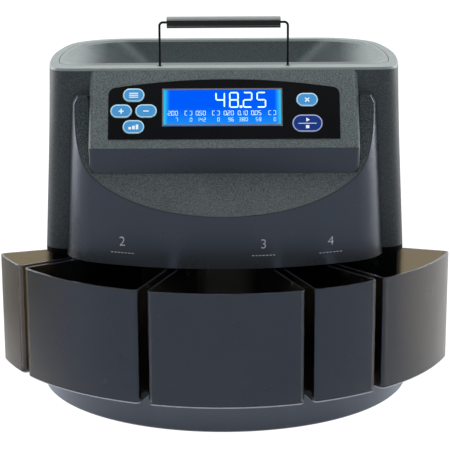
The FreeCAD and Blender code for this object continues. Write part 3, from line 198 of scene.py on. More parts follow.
def node(tree, kind, inputs=None, **fields):
    """Add a node, set its fields, then set or link its inputs."""
    made = tree.nodes.new(kind)
    for key, value in fields.items():
        setattr(made, key, value)
    for socket, value in (inputs or {}).items():
        if isinstance(value, bpy.types.NodeSocket):
            tree.links.new(value, made.inputs[socket])
        else:
            made.inputs[socket].default_value = value
    return made


def opaque(colour):
    return (*colour, 1.0)


def shade(colour, factor):
    return tuple(min(1.0, channel * factor) for channel in colour)


# The cool cast in the sheen of the satin plastic and of the smoked one
COOL_SHEEN = opaque(linear("#d2e1ff"))
BLUE_SHEEN = opaque(linear("#c8dcff"))
# The stretch of a noise pattern that is spread over its whole range, for fine grain and for slow patches
GRAIN_SPAN = {"From Min": 0.36, "From Max": 0.64}
PATCH_SPAN = {"From Min": 0.3, "From Max": 0.7}
# How much rougher or smoother the patches are, and how strong a relief shows
GLOSS_PLAY = 0.05
RELIEF = 0.6


def start_material(name):
    """Start a finish and keep it by its name. Gives its empty node tree and the place on the piece."""
    material = bpy.data.materials.new(name)
    FINISHES[name] = material
    material.use_nodes = True
    tree = material.node_tree
    tree.nodes.clear()
    return tree, node(tree, "ShaderNodeTexCoord").outputs["Object"]


def finish_material(tree, inputs):
    shader = node(tree, "ShaderNodeBsdfPrincipled", inputs)
    node(tree, "ShaderNodeOutputMaterial", {"Surface": shader.outputs["BSDF"]})


def moulded(name, colour, roughness, grain, depth, speck, patch=45, specular=0.5, **shader):
    """Moulded or cast stuff: a fine grain in colour and relief, and slow patches of more and less gloss.

    The width of a grain, the depth of its relief and the width of a patch are in millimetres.
    """
    tree, place = start_material(name)
    grains = node(tree, "ShaderNodeTexNoise", {"Vector": place, "Scale": 1 / (grain * MM), "Detail": 2.0})
    patches = node(tree, "ShaderNodeTexNoise", {"Vector": place, "Scale": 1 / (patch * MM), "Detail": 3.0})
    contrast = node(tree, "ShaderNodeMapRange", {"Value": grains.outputs["Fac"], **GRAIN_SPAN})
    tone = node(tree, "ShaderNodeMix", {"Factor": contrast.outputs["Result"],
                                        "A": opaque(shade(colour, 1 - speck)),
                                        "B": opaque(shade(colour, 1 + speck))}, data_type="RGBA")
    gloss = node(tree, "ShaderNodeMapRange", {"Value": patches.outputs["Fac"], **PATCH_SPAN,
                                              "To Min": roughness - GLOSS_PLAY,
                                              "To Max": roughness + GLOSS_PLAY})
    relief = node(tree, "ShaderNodeBump", {"Height": grains.outputs["Fac"], "Distance": depth * MM,
                                           "Strength": RELIEF})
    inputs = {"Base Color": tone.outputs["Result"], "Roughness": gloss.outputs["Result"],
              "Normal": relief.outputs["Normal"], "Specular IOR Level": specular}
    inputs.update({socket.replace("_", " "): value for socket, value in shader.items()})
    finish_material(tree, inputs)


def make_finishes():
    """Every finish on the machine, named for the real stuff."""
    casing = bpy.context.scene.coin_casing
    bins = bpy.context.scene.coin_bins
    console = bpy.context.scene.coin_console
    fittings = bpy.context.scene.coin_fittings
    grit = casing.grit / MM
    # Spark-eroded ABS: a dry grey with a salt-and-pepper sparkle, set darker than the console's as painted
    # shade for the shade under the rim. The grain is drawn coarse enough to show
    moulded("textured_abs", casing.housing, roughness=0.55, grain=grit, depth=0.2, speck=0.35,
            specular=0.22)
    # The same on the console, in a paler grey that is painted light, where the light from above falls on its
    # sloping face
    moulded("console_abs", console.shell, roughness=0.55, grain=grit, depth=0.25, speck=0.45, specular=0.22)
    # The same in the hollow of the front cover, a little bluer, darker as painted shade where the console
    # shades it, and with more sparkle
    moulded("hollow_abs", casing.hollow, roughness=0.55, grain=grit, depth=0.25, speck=0.85, specular=0.22)
    painted_sheen_hopper(grit)
    # The same ABS where the tool is smooth, in a pale grey that is a painted highlight of the light from
    # above; it also picks up the pale surroundings at low angles
    moulded("rim_abs", casing.rim, roughness=0.42, grain=0.5, depth=0.02, speck=0.08, specular=0.2)
    # Satin ABS: soft broad highlights with a cool cast, almost no grain
    moulded("satin_abs", casing.apron, roughness=0.3, grain=0.5, depth=0.02, speck=0.08,
            specular=0.6, Specular_Tint=COOL_SHEEN)
    # Satin ABS of the base, a little paler
    moulded("base_abs", casing.base, roughness=0.4, grain=0.5, depth=0.02, speck=0.08,
            specular=0.6, Specular_Tint=COOL_SHEEN)
    # Black ABS: deep and even, only a dull sheen
    moulded("black_abs", casing.core, roughness=0.6, grain=0.6, depth=0.03, speck=0.15, specular=0.03)
    # ABS in a seam, where two finishes of the tool meet: duller and a little darker than the satin
    moulded("groove_abs", shade(casing.apron, 0.9), roughness=0.5, grain=0.5, depth=0.02, speck=0.1,
            specular=0.25)
    smoked_polycarbonate("smoked_polycarbonate", bins.tint, roughness=0.1, sheen=0.46)
    # The same sheet inside the bins, where coins have rubbed it dull
    smoked_polycarbonate("rubbed_polycarbonate", bins.tint, roughness=0.2, sheen=0.0)
    # The eased foot of the same plastic, in a pale colour that is a painted highlight along the edge
    moulded("lit_polycarbonate", bins.foot_highlight, roughness=0.3, grain=0.6, depth=0.01, speck=0.06)
    # Printed polyester sheet: deep even black under a matt hard coat
    moulded("printed_polyester", console.panel, roughness=0.3, grain=0.3, depth=0.004, speck=0.1,
            specular=0.03)
    backlit_lcd(console)
    # Lit segments of the display: pale cyan, a little uneven
    moulded("lit_segments", console.digits, roughness=0.4, grain=0.5, depth=0.01, speck=0.05,
            Emission_Color=opaque(console.digits), Emission_Strength=0.6)
    # Painted frame of the display: dull blue-grey
    moulded("painted_bezel", console.bezel, roughness=0.45, grain=0.4, depth=0.01, speck=0.08)
    # Silicone keys: soft sheen, faint grain
    moulded("blue_silicone", console.key, roughness=0.42, grain=0.4, depth=0.02, speck=0.06, specular=0.2)
    moulded("navy_silicone", console.start, roughness=0.42, grain=0.4, depth=0.02, speck=0.06,
            specular=0.08)
    # Screen inks on the keys: flat and nearly even
    moulded("pale_ink", console.key_rim, roughness=0.5, grain=0.3, depth=0.01, speck=0.04)
    moulded("lavender_ink", console.start_rim, roughness=0.5, grain=0.3, depth=0.01, speck=0.04)
    moulded("white_ink", console.sign, roughness=0.5, grain=0.3, depth=0.01, speck=0.04)
    # Pad-printed ink on the casing: flat, a little patchy
    moulded("grey_ink", casing.marks, roughness=0.55, grain=0.3, depth=0.01, speck=0.05)
    # Blackened spring wire: dark, with next to no shine
    moulded("blackened_wire", fittings.wire, roughness=0.35, grain=0.3, depth=0.01, speck=0.15,
            specular=0.05)
    # Polypropylene grip: black from the front and pale where it is seen at a low angle
    moulded("black_polypropylene", fittings.grip, roughness=0.18, grain=0.5, depth=0.004, speck=0.12,
            specular=0.2)
    # The grip's top and parting line, in a paler colour that is a painted highlight
    moulded("worn_polypropylene", fittings.worn, roughness=0.5, grain=0.5, depth=0.02, speck=0.1)
    # Natural nylon: milky off-white
    moulded("natural_nylon", linear("#d8d4c6"), roughness=0.45, grain=0.6, depth=0.03, speck=0.05)
    # Rolled aluminium sheet: pale, with soft reflections
    moulded("rolled_aluminium", linear("#c4c6c9"), roughness=0.34, grain=0.5, depth=0.01, speck=0.08,
            Metallic=1.0)
    # Zinc-plated steel: cool grey with cloudy patches
    moulded("zinc_steel", linear("#a3a7ab"), roughness=0.32, grain=0.8, depth=0.01, speck=0.12, patch=8,
            Metallic=1.0)
    # Turned brass: warm yellow, the shiniest of the metals
    moulded("turned_brass", linear("#c79f52"), roughness=0.28, grain=0.4, depth=0.01, speck=0.1, Metallic=1.0)
    # Glass-fibre board under green solder resist: glossy green, faintly mottled
    moulded("green_board", linear("#1f5a34"), roughness=0.35, grain=0.5, depth=0.02, speck=0.18)
    # Nitrile rubber: black, dry
    moulded("black_rubber", linear("#161616"), roughness=0.75, grain=0.7, depth=0.06, speck=0.2)
    # Grey silicone mat: dull and even
    moulded("grey_silicone", linear("#8d8f92"), roughness=0.6, grain=0.6, depth=0.03, speck=0.06)


def smoked_polycarbonate(name, tint, roughness, sheen):
    """Clear polycarbonate with a smoke tint: brown over white, near black over the dark core."""
    tree, place = start_material(name)
    scuffs = node(tree, "ShaderNodeTexNoise", {"Vector": place, "Scale": 1 / (30 * MM), "Detail": 4.0})
    gloss = node(tree, "ShaderNodeMapRange", {"Value": scuffs.outputs["Fac"], **PATCH_SPAN,
                                              "To Min": roughness, "To Max": roughness + 0.08})
    finish_material(tree, {"Base Color": opaque(tint), "Roughness": gloss.outputs["Result"], "IOR": 1.58,
                           "Transmission Weight": 1.0, "Specular IOR Level": sheen,
                           "Specular Tint": BLUE_SHEEN})


def painted_sheen_hopper(grit):
    """The casing's ABS in the hopper: pale towards its ends as a painted reflection of the light on the end
    walls, dark in the middle.
    """
    casing = bpy.context.scene.coin_casing
    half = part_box("hopper_funnel")[1].x
    tree, place = start_material("hopper_abs")
    across = node(tree, "ShaderNodeSeparateXYZ", {"Vector": place}).outputs["X"]
    away = node(tree, "ShaderNodeMath", {0: across}, operation="ABSOLUTE")
    # Painted reflection: the colour turns paler towards the hopper's ends
    painted_sheen = node(tree, "ShaderNodeMapRange", {"Value": away.outputs["Value"], "From Min": half * 0.76,
                                               "From Max": half * 0.92})
    tone = node(tree, "ShaderNodeMix", {"Factor": painted_sheen.outputs["Result"],
                                        "A": opaque(shade(casing.housing, 0.75)),
                                        "B": opaque(shade(casing.rim, 0.8))}, data_type="RGBA")
    grains = node(tree, "ShaderNodeTexNoise", {"Vector": place, "Scale": 1 / (grit * MM), "Detail": 2.0})
    speck = node(tree, "ShaderNodeMapRange", {"Value": grains.outputs["Fac"], **GRAIN_SPAN,
                                              "To Min": 0.6, "To Max": 1.4})
    speckled = node(tree, "ShaderNodeMix", {"Factor": 1.0, "A": tone.outputs["Result"],
                                            "B": speck.outputs["Result"]},
                    data_type="RGBA", blend_type="MULTIPLY")
    gloss = node(tree, "ShaderNodeMapRange", {"Value": grains.outputs["Fac"], "To Min": 0.28, "To Max": 0.44})
    relief = node(tree, "ShaderNodeBump", {"Height": grains.outputs["Fac"], "Distance": 0.08 * MM,
                                           "Strength": RELIEF})
    finish_material(tree, {"Base Color": speckled.outputs["Result"], "Roughness": gloss.outputs["Result"],
                           "Normal": relief.outputs["Normal"], "Specular IOR Level": 0.35,
                           "Specular Tint": opaque(linear("#dcf0e8"))})


def backlit_lcd(console):
    """Display lit from its ends: deep blue in the middle, cyan towards the ends and the foot."""
    low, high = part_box("lcd_window")
    middle = (low + high) / 2
    half = high.x - middle.x
    tree, place = start_material("backlit_lcd")
    split = node(tree, "ShaderNodeSeparateXYZ", {"Vector": place})
    off = node(tree, "ShaderNodeMath", {0: split.outputs["X"], 1: middle.x}, operation="SUBTRACT")
    away = node(tree, "ShaderNodeMath", {0: off.outputs["Value"]}, operation="ABSOLUTE")
    fade = node(tree, "ShaderNodeMapRange", {"Value": away.outputs["Value"], "From Min": half * 0.86,
                                             "From Max": half}, interpolation_type="SMOOTHSTEP")
    foot = node(tree, "ShaderNodeMapRange", {"Value": split.outputs["Z"], "From Min": low.z,
                                             "From Max": middle.z, "To Min": 0.35, "To Max": 0.0})
    most = node(tree, "ShaderNodeMath", {0: fade.outputs["Result"], 1: foot.outputs["Result"]},
                operation="MAXIMUM")
    glow = node(tree, "ShaderNodeMix", {"Factor": most.outputs["Value"], "A": opaque(console.glow),
                                        "B": opaque(console.glow_edge)}, data_type="RGBA")
    finish_material(tree, {"Base Color": opaque(linear("#000204")), "Roughness": 0.3,
                           "Specular IOR Level": 0.0, "Emission Color": glow.outputs["Result"],
                           "Emission Strength": 0.97})


# Modelling

def deselect_all():
    bpy.ops.object.select_all(action="DESELECT")


def only(piece):
    """Select one object and make it active."""
    deselect_all()
    piece.select_set(True)
    bpy.context.view_layer.objects.active = piece


def edit(piece, mode="FACE"):
    """Open a piece in edit mode with nothing selected."""
    only(piece)
    bpy.ops.object.mode_set(mode="EDIT")
    bpy.ops.mesh.select_mode(type=mode)
    bpy.ops.mesh.select_all(action="DESELECT")


def done():
    bpy.ops.object.mode_set(mode="OBJECT")


def pick(piece, kind, wanted):
    """Select, in edit mode, the faces or edges for which wanted is true."""
    mesh = bmesh.from_edit_mesh(piece.data)
    count = 0
    for element in getattr(mesh, kind):
        chosen = wanted(element)
        element.select_set(chosen)
        count += chosen
    bmesh.update_edit_mesh(piece.data)
    if count == 0:
        raise RuntimeError(f"{piece.name}: nothing was picked among its {kind}")


def pick_all():
    bpy.ops.mesh.select_all(action="SELECT")


def cut(across):
    """Cut the piece in edit mode by a plane square to X, Y or Z through the given place."""
    pick_all()
    bpy.ops.mesh.bisect(plane_co=across, plane_no=Vector(across).normalized())


def give_finish(piece, index):
    """Put the material in a slot on the faces that are selected in edit mode."""
    piece.active_material_index = index
    bpy.ops.object.material_slot_assign()


def apply_place(piece):
    only(piece)
    bpy.ops.object.transform_apply(location=True, rotation=True, scale=True)


def apply_modifiers(piece):
    only(piece)
    for modifier in list(piece.modifiers):
        bpy.ops.object.modifier_apply(modifier=modifier.name)


def smooth(piece):
    """Shade curves smooth, and keep flat faces even beside their rounded edges."""
    only(piece)
    bpy.ops.object.shade_smooth_by_angle(angle=SMOOTH_EDGE)
    evened = piece.modifiers.new("even", "WEIGHTED_NORMAL")
    evened.keep_sharp = True
    apply_modifiers(piece)


def paint(piece, *finishes):
    piece.data.materials.clear()
    for finish in finishes:
        piece.data.materials.append(FINISHES[finish])


def body_of(cad_node):
    return frame["nodes"][cad_node]["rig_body"]


def copy_of(cad_node, name):
    """A piece with a merged copy of a CAD node's mesh."""
    piece = bpy.data.objects.new(name, frame["nodes"][cad_node].data.copy())
    bpy.context.scene.collection.objects.link(piece)
    edit(piece)
    pick_all()
    bpy.ops.mesh.remove_doubles(threshold=ONE_POINT)
    bpy.ops.mesh.dissolve_limited(angle_limit=ONE_FLAT)
    done()
    return piece


def round_edges(piece, width):
    """Round every sharp edge."""
    bevel = piece.modifiers.new("round", "BEVEL")
    bevel.width = width
    bevel.segments = 2
    bevel.limit_method = "ANGLE"
    bevel.angle_limit = SHARP_EDGE
    bevel.use_clamp_overlap = True
    bevel.harden_normals = False
    apply_modifiers(piece)


def stand_for(piece, cad_node):
    """Put a piece in a CAD node's place, on its body."""
    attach(piece, body_of(cad_node))
    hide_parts(cad_node)
    return piece


def dress(cad_node, name, slot, edge, *finishes):
    """Replace a CAD node by a copy with rounded edges and its finishes."""
    piece = copy_of(cad_node, name)
    if edge > 0:
        round_edges(piece, edge)
    paint(piece, *finishes)
    smooth(piece)
    return stand_for(piece, cad_node)


def repaint(piece, index, wanted):
    """Put another of the piece's finishes on the faces for which wanted(middle, normal) is true."""
    edit(piece)
    pick(piece, "faces", lambda face: wanted(face.calc_center_median(), face.normal))
    give_finish(piece, index)
    done()


def flat_bar(length, width, x=0.0, y=0.0, turn=0.0):
    """A flat bar in the XY plane."""
    deselect_all()
    bpy.ops.mesh.primitive_plane_add(size=1, location=(x, y, 0), rotation=(0, 0, turn))
    bar = bpy.context.active_object
    bar.scale = (length, width, 1)
    return bar


def flat_disc(corners, radius, x=0.0, y=0.0, turn=0.0):
    """A flat shape with even corners in the XY plane."""
    deselect_all()
    bpy.ops.mesh.primitive_circle_add(vertices=corners, radius=radius, fill_type="NGON", location=(x, y, 0),
                                      rotation=(0, 0, turn))
    return bpy.context.active_object


def joined(pieces, name):
    """One object from several, with their places in its mesh."""
    deselect_all()
    for piece in pieces:
        piece.select_set(True)
    bpy.context.view_layer.objects.active = pieces[0]
    bpy.ops.object.transform_apply(location=True, rotation=True, scale=True)
    if len(pieces) > 1:
        bpy.ops.object.join()
    whole = bpy.context.active_object
    whole.name = name
    return whole


def thicken(piece, height):
    """Raise a flat piece to a closed one."""
    edit(piece)
    pick_all()
    bpy.ops.mesh.extrude_region_move(TRANSFORM_OT_translate={"value": (0, 0, height)})
    pick_all()
    bpy.ops.mesh.normals_make_consistent(inside=False)
    done()


def lay_on(piece, cad_node, out):
    """Move a piece from the XY plane over a node on the console's sloping face, and on to its body."""
    off = middle_of(cad_node) - FACE_MIDDLE
    piece.location = FACE_MIDDLE + Vector((off.x, 0, 0)) + FACE_UP * off.dot(FACE_UP) + FACE_OUT * out
    piece.rotation_euler = (FACE_TURN, 0, 0)
    apply_place(piece)
    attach(piece, body_of(cad_node))


class COIN_OT_finishes(bpy.types.Operator):
    """Make every finish and put it on the nodes that keep their own shape"""

    bl_idname = "coin_sorter.finishes"
    bl_label = "Finishes"

    KEPT = {
        "zinc_steel": ("base_screws", "deck_screws", "deck_pillars", "drive_posts", "motor_screws",
                       "drive_shaft", "shaft_collar", "motor_shaft", "drive_motor", "handle_stops",
                       "power_supply", "lcd_module"),
        "rolled_aluminium": ("sort_deck", "motor_plate", "coin_rail"),
        "natural_nylon": ("drive_gear",),
        "turned_brass": ("upper_bush", "lower_bush", "motor_pinion", "board_standoffs", "inlet_pins"),
        "green_board": ("main_board", "display_board"),
        "grey_silicone": ("keypad_mat",),
        "black_abs": ("coin_sensors", "handle_bushes"),
        "black_rubber": ("rubber_feet",),
    }

    def execute(self, context):
        make_finishes()
        for finish, names in self.KEPT.items():
            for name in names:
                paint(frame["nodes"][name], finish)
        return {"FINISHED"}


class COIN_OT_casing(bpy.types.Operator):
    """Base, core, housing, front cover and hopper"""

    bl_idname = "coin_sorter.casing"
    bl_label = "Casing"

    # Rounding of thin-walled pieces, as a share of the casing's
    THIN_EDGE = 0.6
    # Depth of the lip round the rim and the hopper, in the smooth finish with its painted highlight, and how
    # far up the rim's lip looks at least
    LIP = 2 * MM
    LIP_SLOPE = 0.3
    # Where the hopper's lip starts behind its front, and where it ends as a share of half the hopper's width
    LIP_START = 35 * MM
    LIP_END = 0.9
    # The seam round its ends: depth, how far up it looks at most, and where it starts as such a share
    SEAM = 0.5 * MM
    SEAM_SLOPE = 0.95
    SEAM_START = 0.75
    # The front cover's shoulders: rounding, least fold, height of their foot, and how far back they look
    SHOULDER = 1.5 * MM
    SHOULDER_FOLD = math.radians(18)
    SHOULDER_FOOT = 120 * MM
    SHOULDER_BACK = 0.3
    # The groove round its hollow: width and least fold
    GROOVE = 0.7 * MM
    GROOVE_FOLD = math.radians(15)
    # How far a face in the hollow may lie off its round, and how square to the radius it is at least
    SCOOP_PLAY = 0.6 * MM
    SCOOP_SQUARE = 0.9

    # Each printed bin number: its words, then its place across and its height in millimetres
    MARKS = (("2", -79.2, 140.7), ("3", 29.8, 140.9), ("4", 82.1, 140.1))
    NUMBER_SIZE = 10.5 * MM
    NUMBER_THINNED = 0.12 * MM
    # The dashes under it: how many beside the middle one, length, width, pitch and drop
    DASHES_BESIDE = 3
    DASH = 1.7 * MM
    DASH_WIDTH = 0.6 * MM
    DASH_PITCH = 2.7 * MM
    DASH_DROP = 8.6 * MM
    # The print starts in front of the cover, and lands just over it as a thin film
    PRINT_START = 5 * MM
    PRINT_LIFT = 0.03 * MM
    PRINT_FILM = 0.08 * MM

    def execute(self, context):
        edge = context.scene.coin_casing.edge
        dress("base_pan", "base_moulding", "base_plastic", edge, "base_abs")
        dress("core_shell", "core_moulding", "core_plastic", edge * self.THIN_EDGE, "black_abs")
        housing = dress("upper_housing", "housing_moulding", "housing_plastic", edge, "textured_abs",
                        "rim_abs")
        rim_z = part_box("upper_housing")[1].z
        # Painted highlight: the rim's top faces get the pale rim finish
        repaint(housing, 1, lambda middle, normal: middle.z > rim_z - self.LIP and normal.z > self.LIP_SLOPE)
        self.hopper(edge * self.THIN_EDGE, rim_z)
        cover = self.cover()
        for words, across, height in self.MARKS:
            self.mark(cover, words, across * MM, height * MM)
        return {"FINISHED"}

    def hopper(self, edge, rim_z):
        """Hopper insert: a smooth lip round the back, pale as a painted highlight, and a dull seam at the
        outer edge of its ends.
        """
        piece = copy_of("hopper_funnel", "hopper_moulding")
        round_edges(piece, edge)
        low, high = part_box("hopper_funnel")
        centre = (low + high) / 2
        lip_z = rim_z - self.LIP
        lip_y = low.y + self.LIP_START
        lip_x = high.x * self.LIP_END
        edit(piece)
        for place in ((0, 0, lip_z), (-lip_x, 0, 0), (lip_x, 0, 0)):
            cut(place)
        done()
        paint(piece, "hopper_abs", "rim_abs", "groove_abs")
        # Painted highlight: the lip round the back gets the pale rim finish
        repaint(piece, 1, lambda middle, normal: middle.z > lip_z and middle.y > lip_y
                and abs(middle.x) < lip_x)
        repaint(piece, 2, lambda middle, normal: middle.z > rim_z - self.SEAM and normal.z < self.SEAM_SLOPE
                and (middle - centre).xy.dot(normal.xy) > 0 and abs(middle.x) > high.x * self.SEAM_START)
        smooth(piece)
        stand_for(piece, "hopper_funnel")

    def in_scoop(self, middle, normal):
        """Whether a face lies in the front cover's hollow."""
        reach = Vector((0, SCOOP_Y - middle.y, SCOOP_Z - middle.z))
        return (abs(reach.length - SCOOP_RADIUS) < self.SCOOP_PLAY
                and abs(reach.normalized().dot(normal)) > self.SCOOP_SQUARE)

    def cover(self):
        """Front cover: satin outside, textured in its hollow, with a groove where they meet."""
        piece = copy_of("front_cover", "cover_moulding")
        edit(piece, "EDGE")
        pick(piece, "edges", lambda shoulder: len(shoulder.link_faces) == 2
             and shoulder.calc_face_angle(0) > self.SHOULDER_FOLD
             and min(corner.co.z for corner in shoulder.verts) > self.SHOULDER_FOOT
             and all(face.normal.y < self.SHOULDER_BACK
                     and not self.in_scoop(face.calc_center_median(), face.normal)
                     for face in shoulder.link_faces))
        bpy.ops.mesh.bevel(offset=self.SHOULDER, segments=3, affect="EDGES", clamp_overlap=True)
        done()
        paint(piece, "satin_abs", "hollow_abs", "groove_abs")
        # Painted shade: the hollow gets its darker finish
        repaint(piece, 1, self.in_scoop)
        edit(piece, "EDGE")
        pick(piece, "edges", lambda seam: len(seam.link_faces) == 2
             and {face.material_index for face in seam.link_faces} == {0, 1}
             and seam.calc_face_angle(0) > self.GROOVE_FOLD)
        bpy.ops.mesh.bevel(offset=self.GROOVE, segments=3, affect="EDGES", material=2)
        done()
        smooth(piece)
        return stand_for(piece, "front_cover")

    def mark(self, cover, words, across, height):
        """A bin number over a row of dashes, printed on the bowed front."""
        deselect_all()
        bpy.ops.object.text_add()
        number = bpy.context.active_object
        number.data.body = words
        number.data.align_x = "CENTER"
        number.data.align_y = "CENTER"
        number.data.size = self.NUMBER_SIZE
        number.data.offset = -self.NUMBER_THINNED
        only(number)
        bpy.ops.object.convert(target="MESH")
        pieces = [bpy.context.active_object]
        for step in range(-self.DASHES_BESIDE, self.DASHES_BESIDE + 1):
            pieces.append(flat_bar(self.DASH, self.DASH_WIDTH, step * self.DASH_PITCH, -self.DASH_DROP))
        mark = joined(pieces, f"bin_number_{words}")
        edit(mark)
        pick_all()
        bpy.ops.mesh.remove_doubles(threshold=ONE_POINT)
        bpy.ops.mesh.normals_make_consistent(inside=False)
        bpy.ops.mesh.subdivide(number_cuts=3)
        done()
        mark.rotation_euler = (math.pi / 2, 0, 0)
        mark.location = (across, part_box("front_cover")[0].y - self.PRINT_START, height)
        apply_place(mark)
        wrap = mark.modifiers.new("wrap", "SHRINKWRAP")
        wrap.target = cover
        wrap.wrap_method = "PROJECT"
        wrap.use_project_y = True
        wrap.use_positive_direction = True
        wrap.use_negative_direction = False
        wrap.wrap_mode = "ABOVE_SURFACE"
        wrap.offset = self.PRINT_LIFT
        film = mark.modifiers.new("film", "SOLIDIFY")
        film.thickness = self.PRINT_FILM
        film.offset = 1.0
        apply_modifiers(mark)
        paint(mark, "grey_ink")
        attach(mark, body_of("front_cover"))


class COIN_OT_bins(bpy.types.Operator):
    """The pull-out bins"""

    bl_idname = "coin_sorter.bins"
    bl_label = "Bins"

    COUNT = 5
    # The eased foot edge, painted pale as a highlight: height above the bin's foot, and how far down it looks
    # at least and at most
    FOOT = 1.45 * MM
    FOOT_LEAST = -0.5
    FOOT_MOST = -0.9

    def execute(self, context):
        for number in range(1, self.COUNT + 1):
            self.bin(f"coin_bin_{number}", f"bin_tub_{number}", context.scene.coin_bins.edge)
        return {"FINISHED"}

    def bin(self, cad_node, name, edge):
        """A smoked bin with a painted highlight on its foot edge, dulled inside by coins."""
        piece = dress(cad_node, name, "smoke_plastic", edge, "smoked_polycarbonate", "lit_polycarbonate",
                      "rubbed_polycarbonate")
        foot_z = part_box(cad_node)[0].z + self.FOOT
        # Painted highlight: the eased foot edge gets the pale finish
        repaint(piece, 1, lambda middle, normal: middle.z < foot_z
                and self.FOOT_MOST < normal.z < self.FOOT_LEAST)
        centre = middle_of(cad_node)
        repaint(piece, 2, lambda middle, normal: (centre - middle).dot(normal) > 0)


class COIN_OT_console(bpy.types.Operator):
    """Console shell and panel"""

    bl_idname = "coin_sorter.console"
    bl_label = "Console"

    # Rounding of the nose, where the sloping face meets the smooth underside
    NOSE = 2.2 * MM
    # How far up the face looks at least and the underside at most, and how far both look to the front
    FACE_SLOPE = 0.2
    UNDER_SLOPE = -0.15
    FRONT_SLOPE = -0.4
    PANEL_EDGE = 0.1 * MM

    def execute(self, context):
        shell = copy_of("console_shell", "console_moulding")
        edit(shell, "EDGE")
        pick(shell, "edges", lambda nose: len(nose.link_faces) == 2
             and min(face.normal.z for face in nose.link_faces) < self.UNDER_SLOPE
             and max(face.normal.z for face in nose.link_faces) > self.FACE_SLOPE
             and max(face.normal.y for face in nose.link_faces) < self.FRONT_SLOPE)
        bpy.ops.mesh.bevel(offset=self.NOSE, segments=4, affect="EDGES", clamp_overlap=True)
        done()
        round_edges(shell, context.scene.coin_casing.edge)
        # The shell's paler finish is painted light on the sloping face
        paint(shell, "console_abs", "satin_abs")
        repaint(shell, 1, lambda middle, normal: normal.z < self.UNDER_SLOPE)
        smooth(shell)
        stand_for(shell, "console_shell")
        dress("console_overlay", "panel_sheet", "panel_black", self.PANEL_EDGE, "printed_polyester")
        return {"FINISHED"}


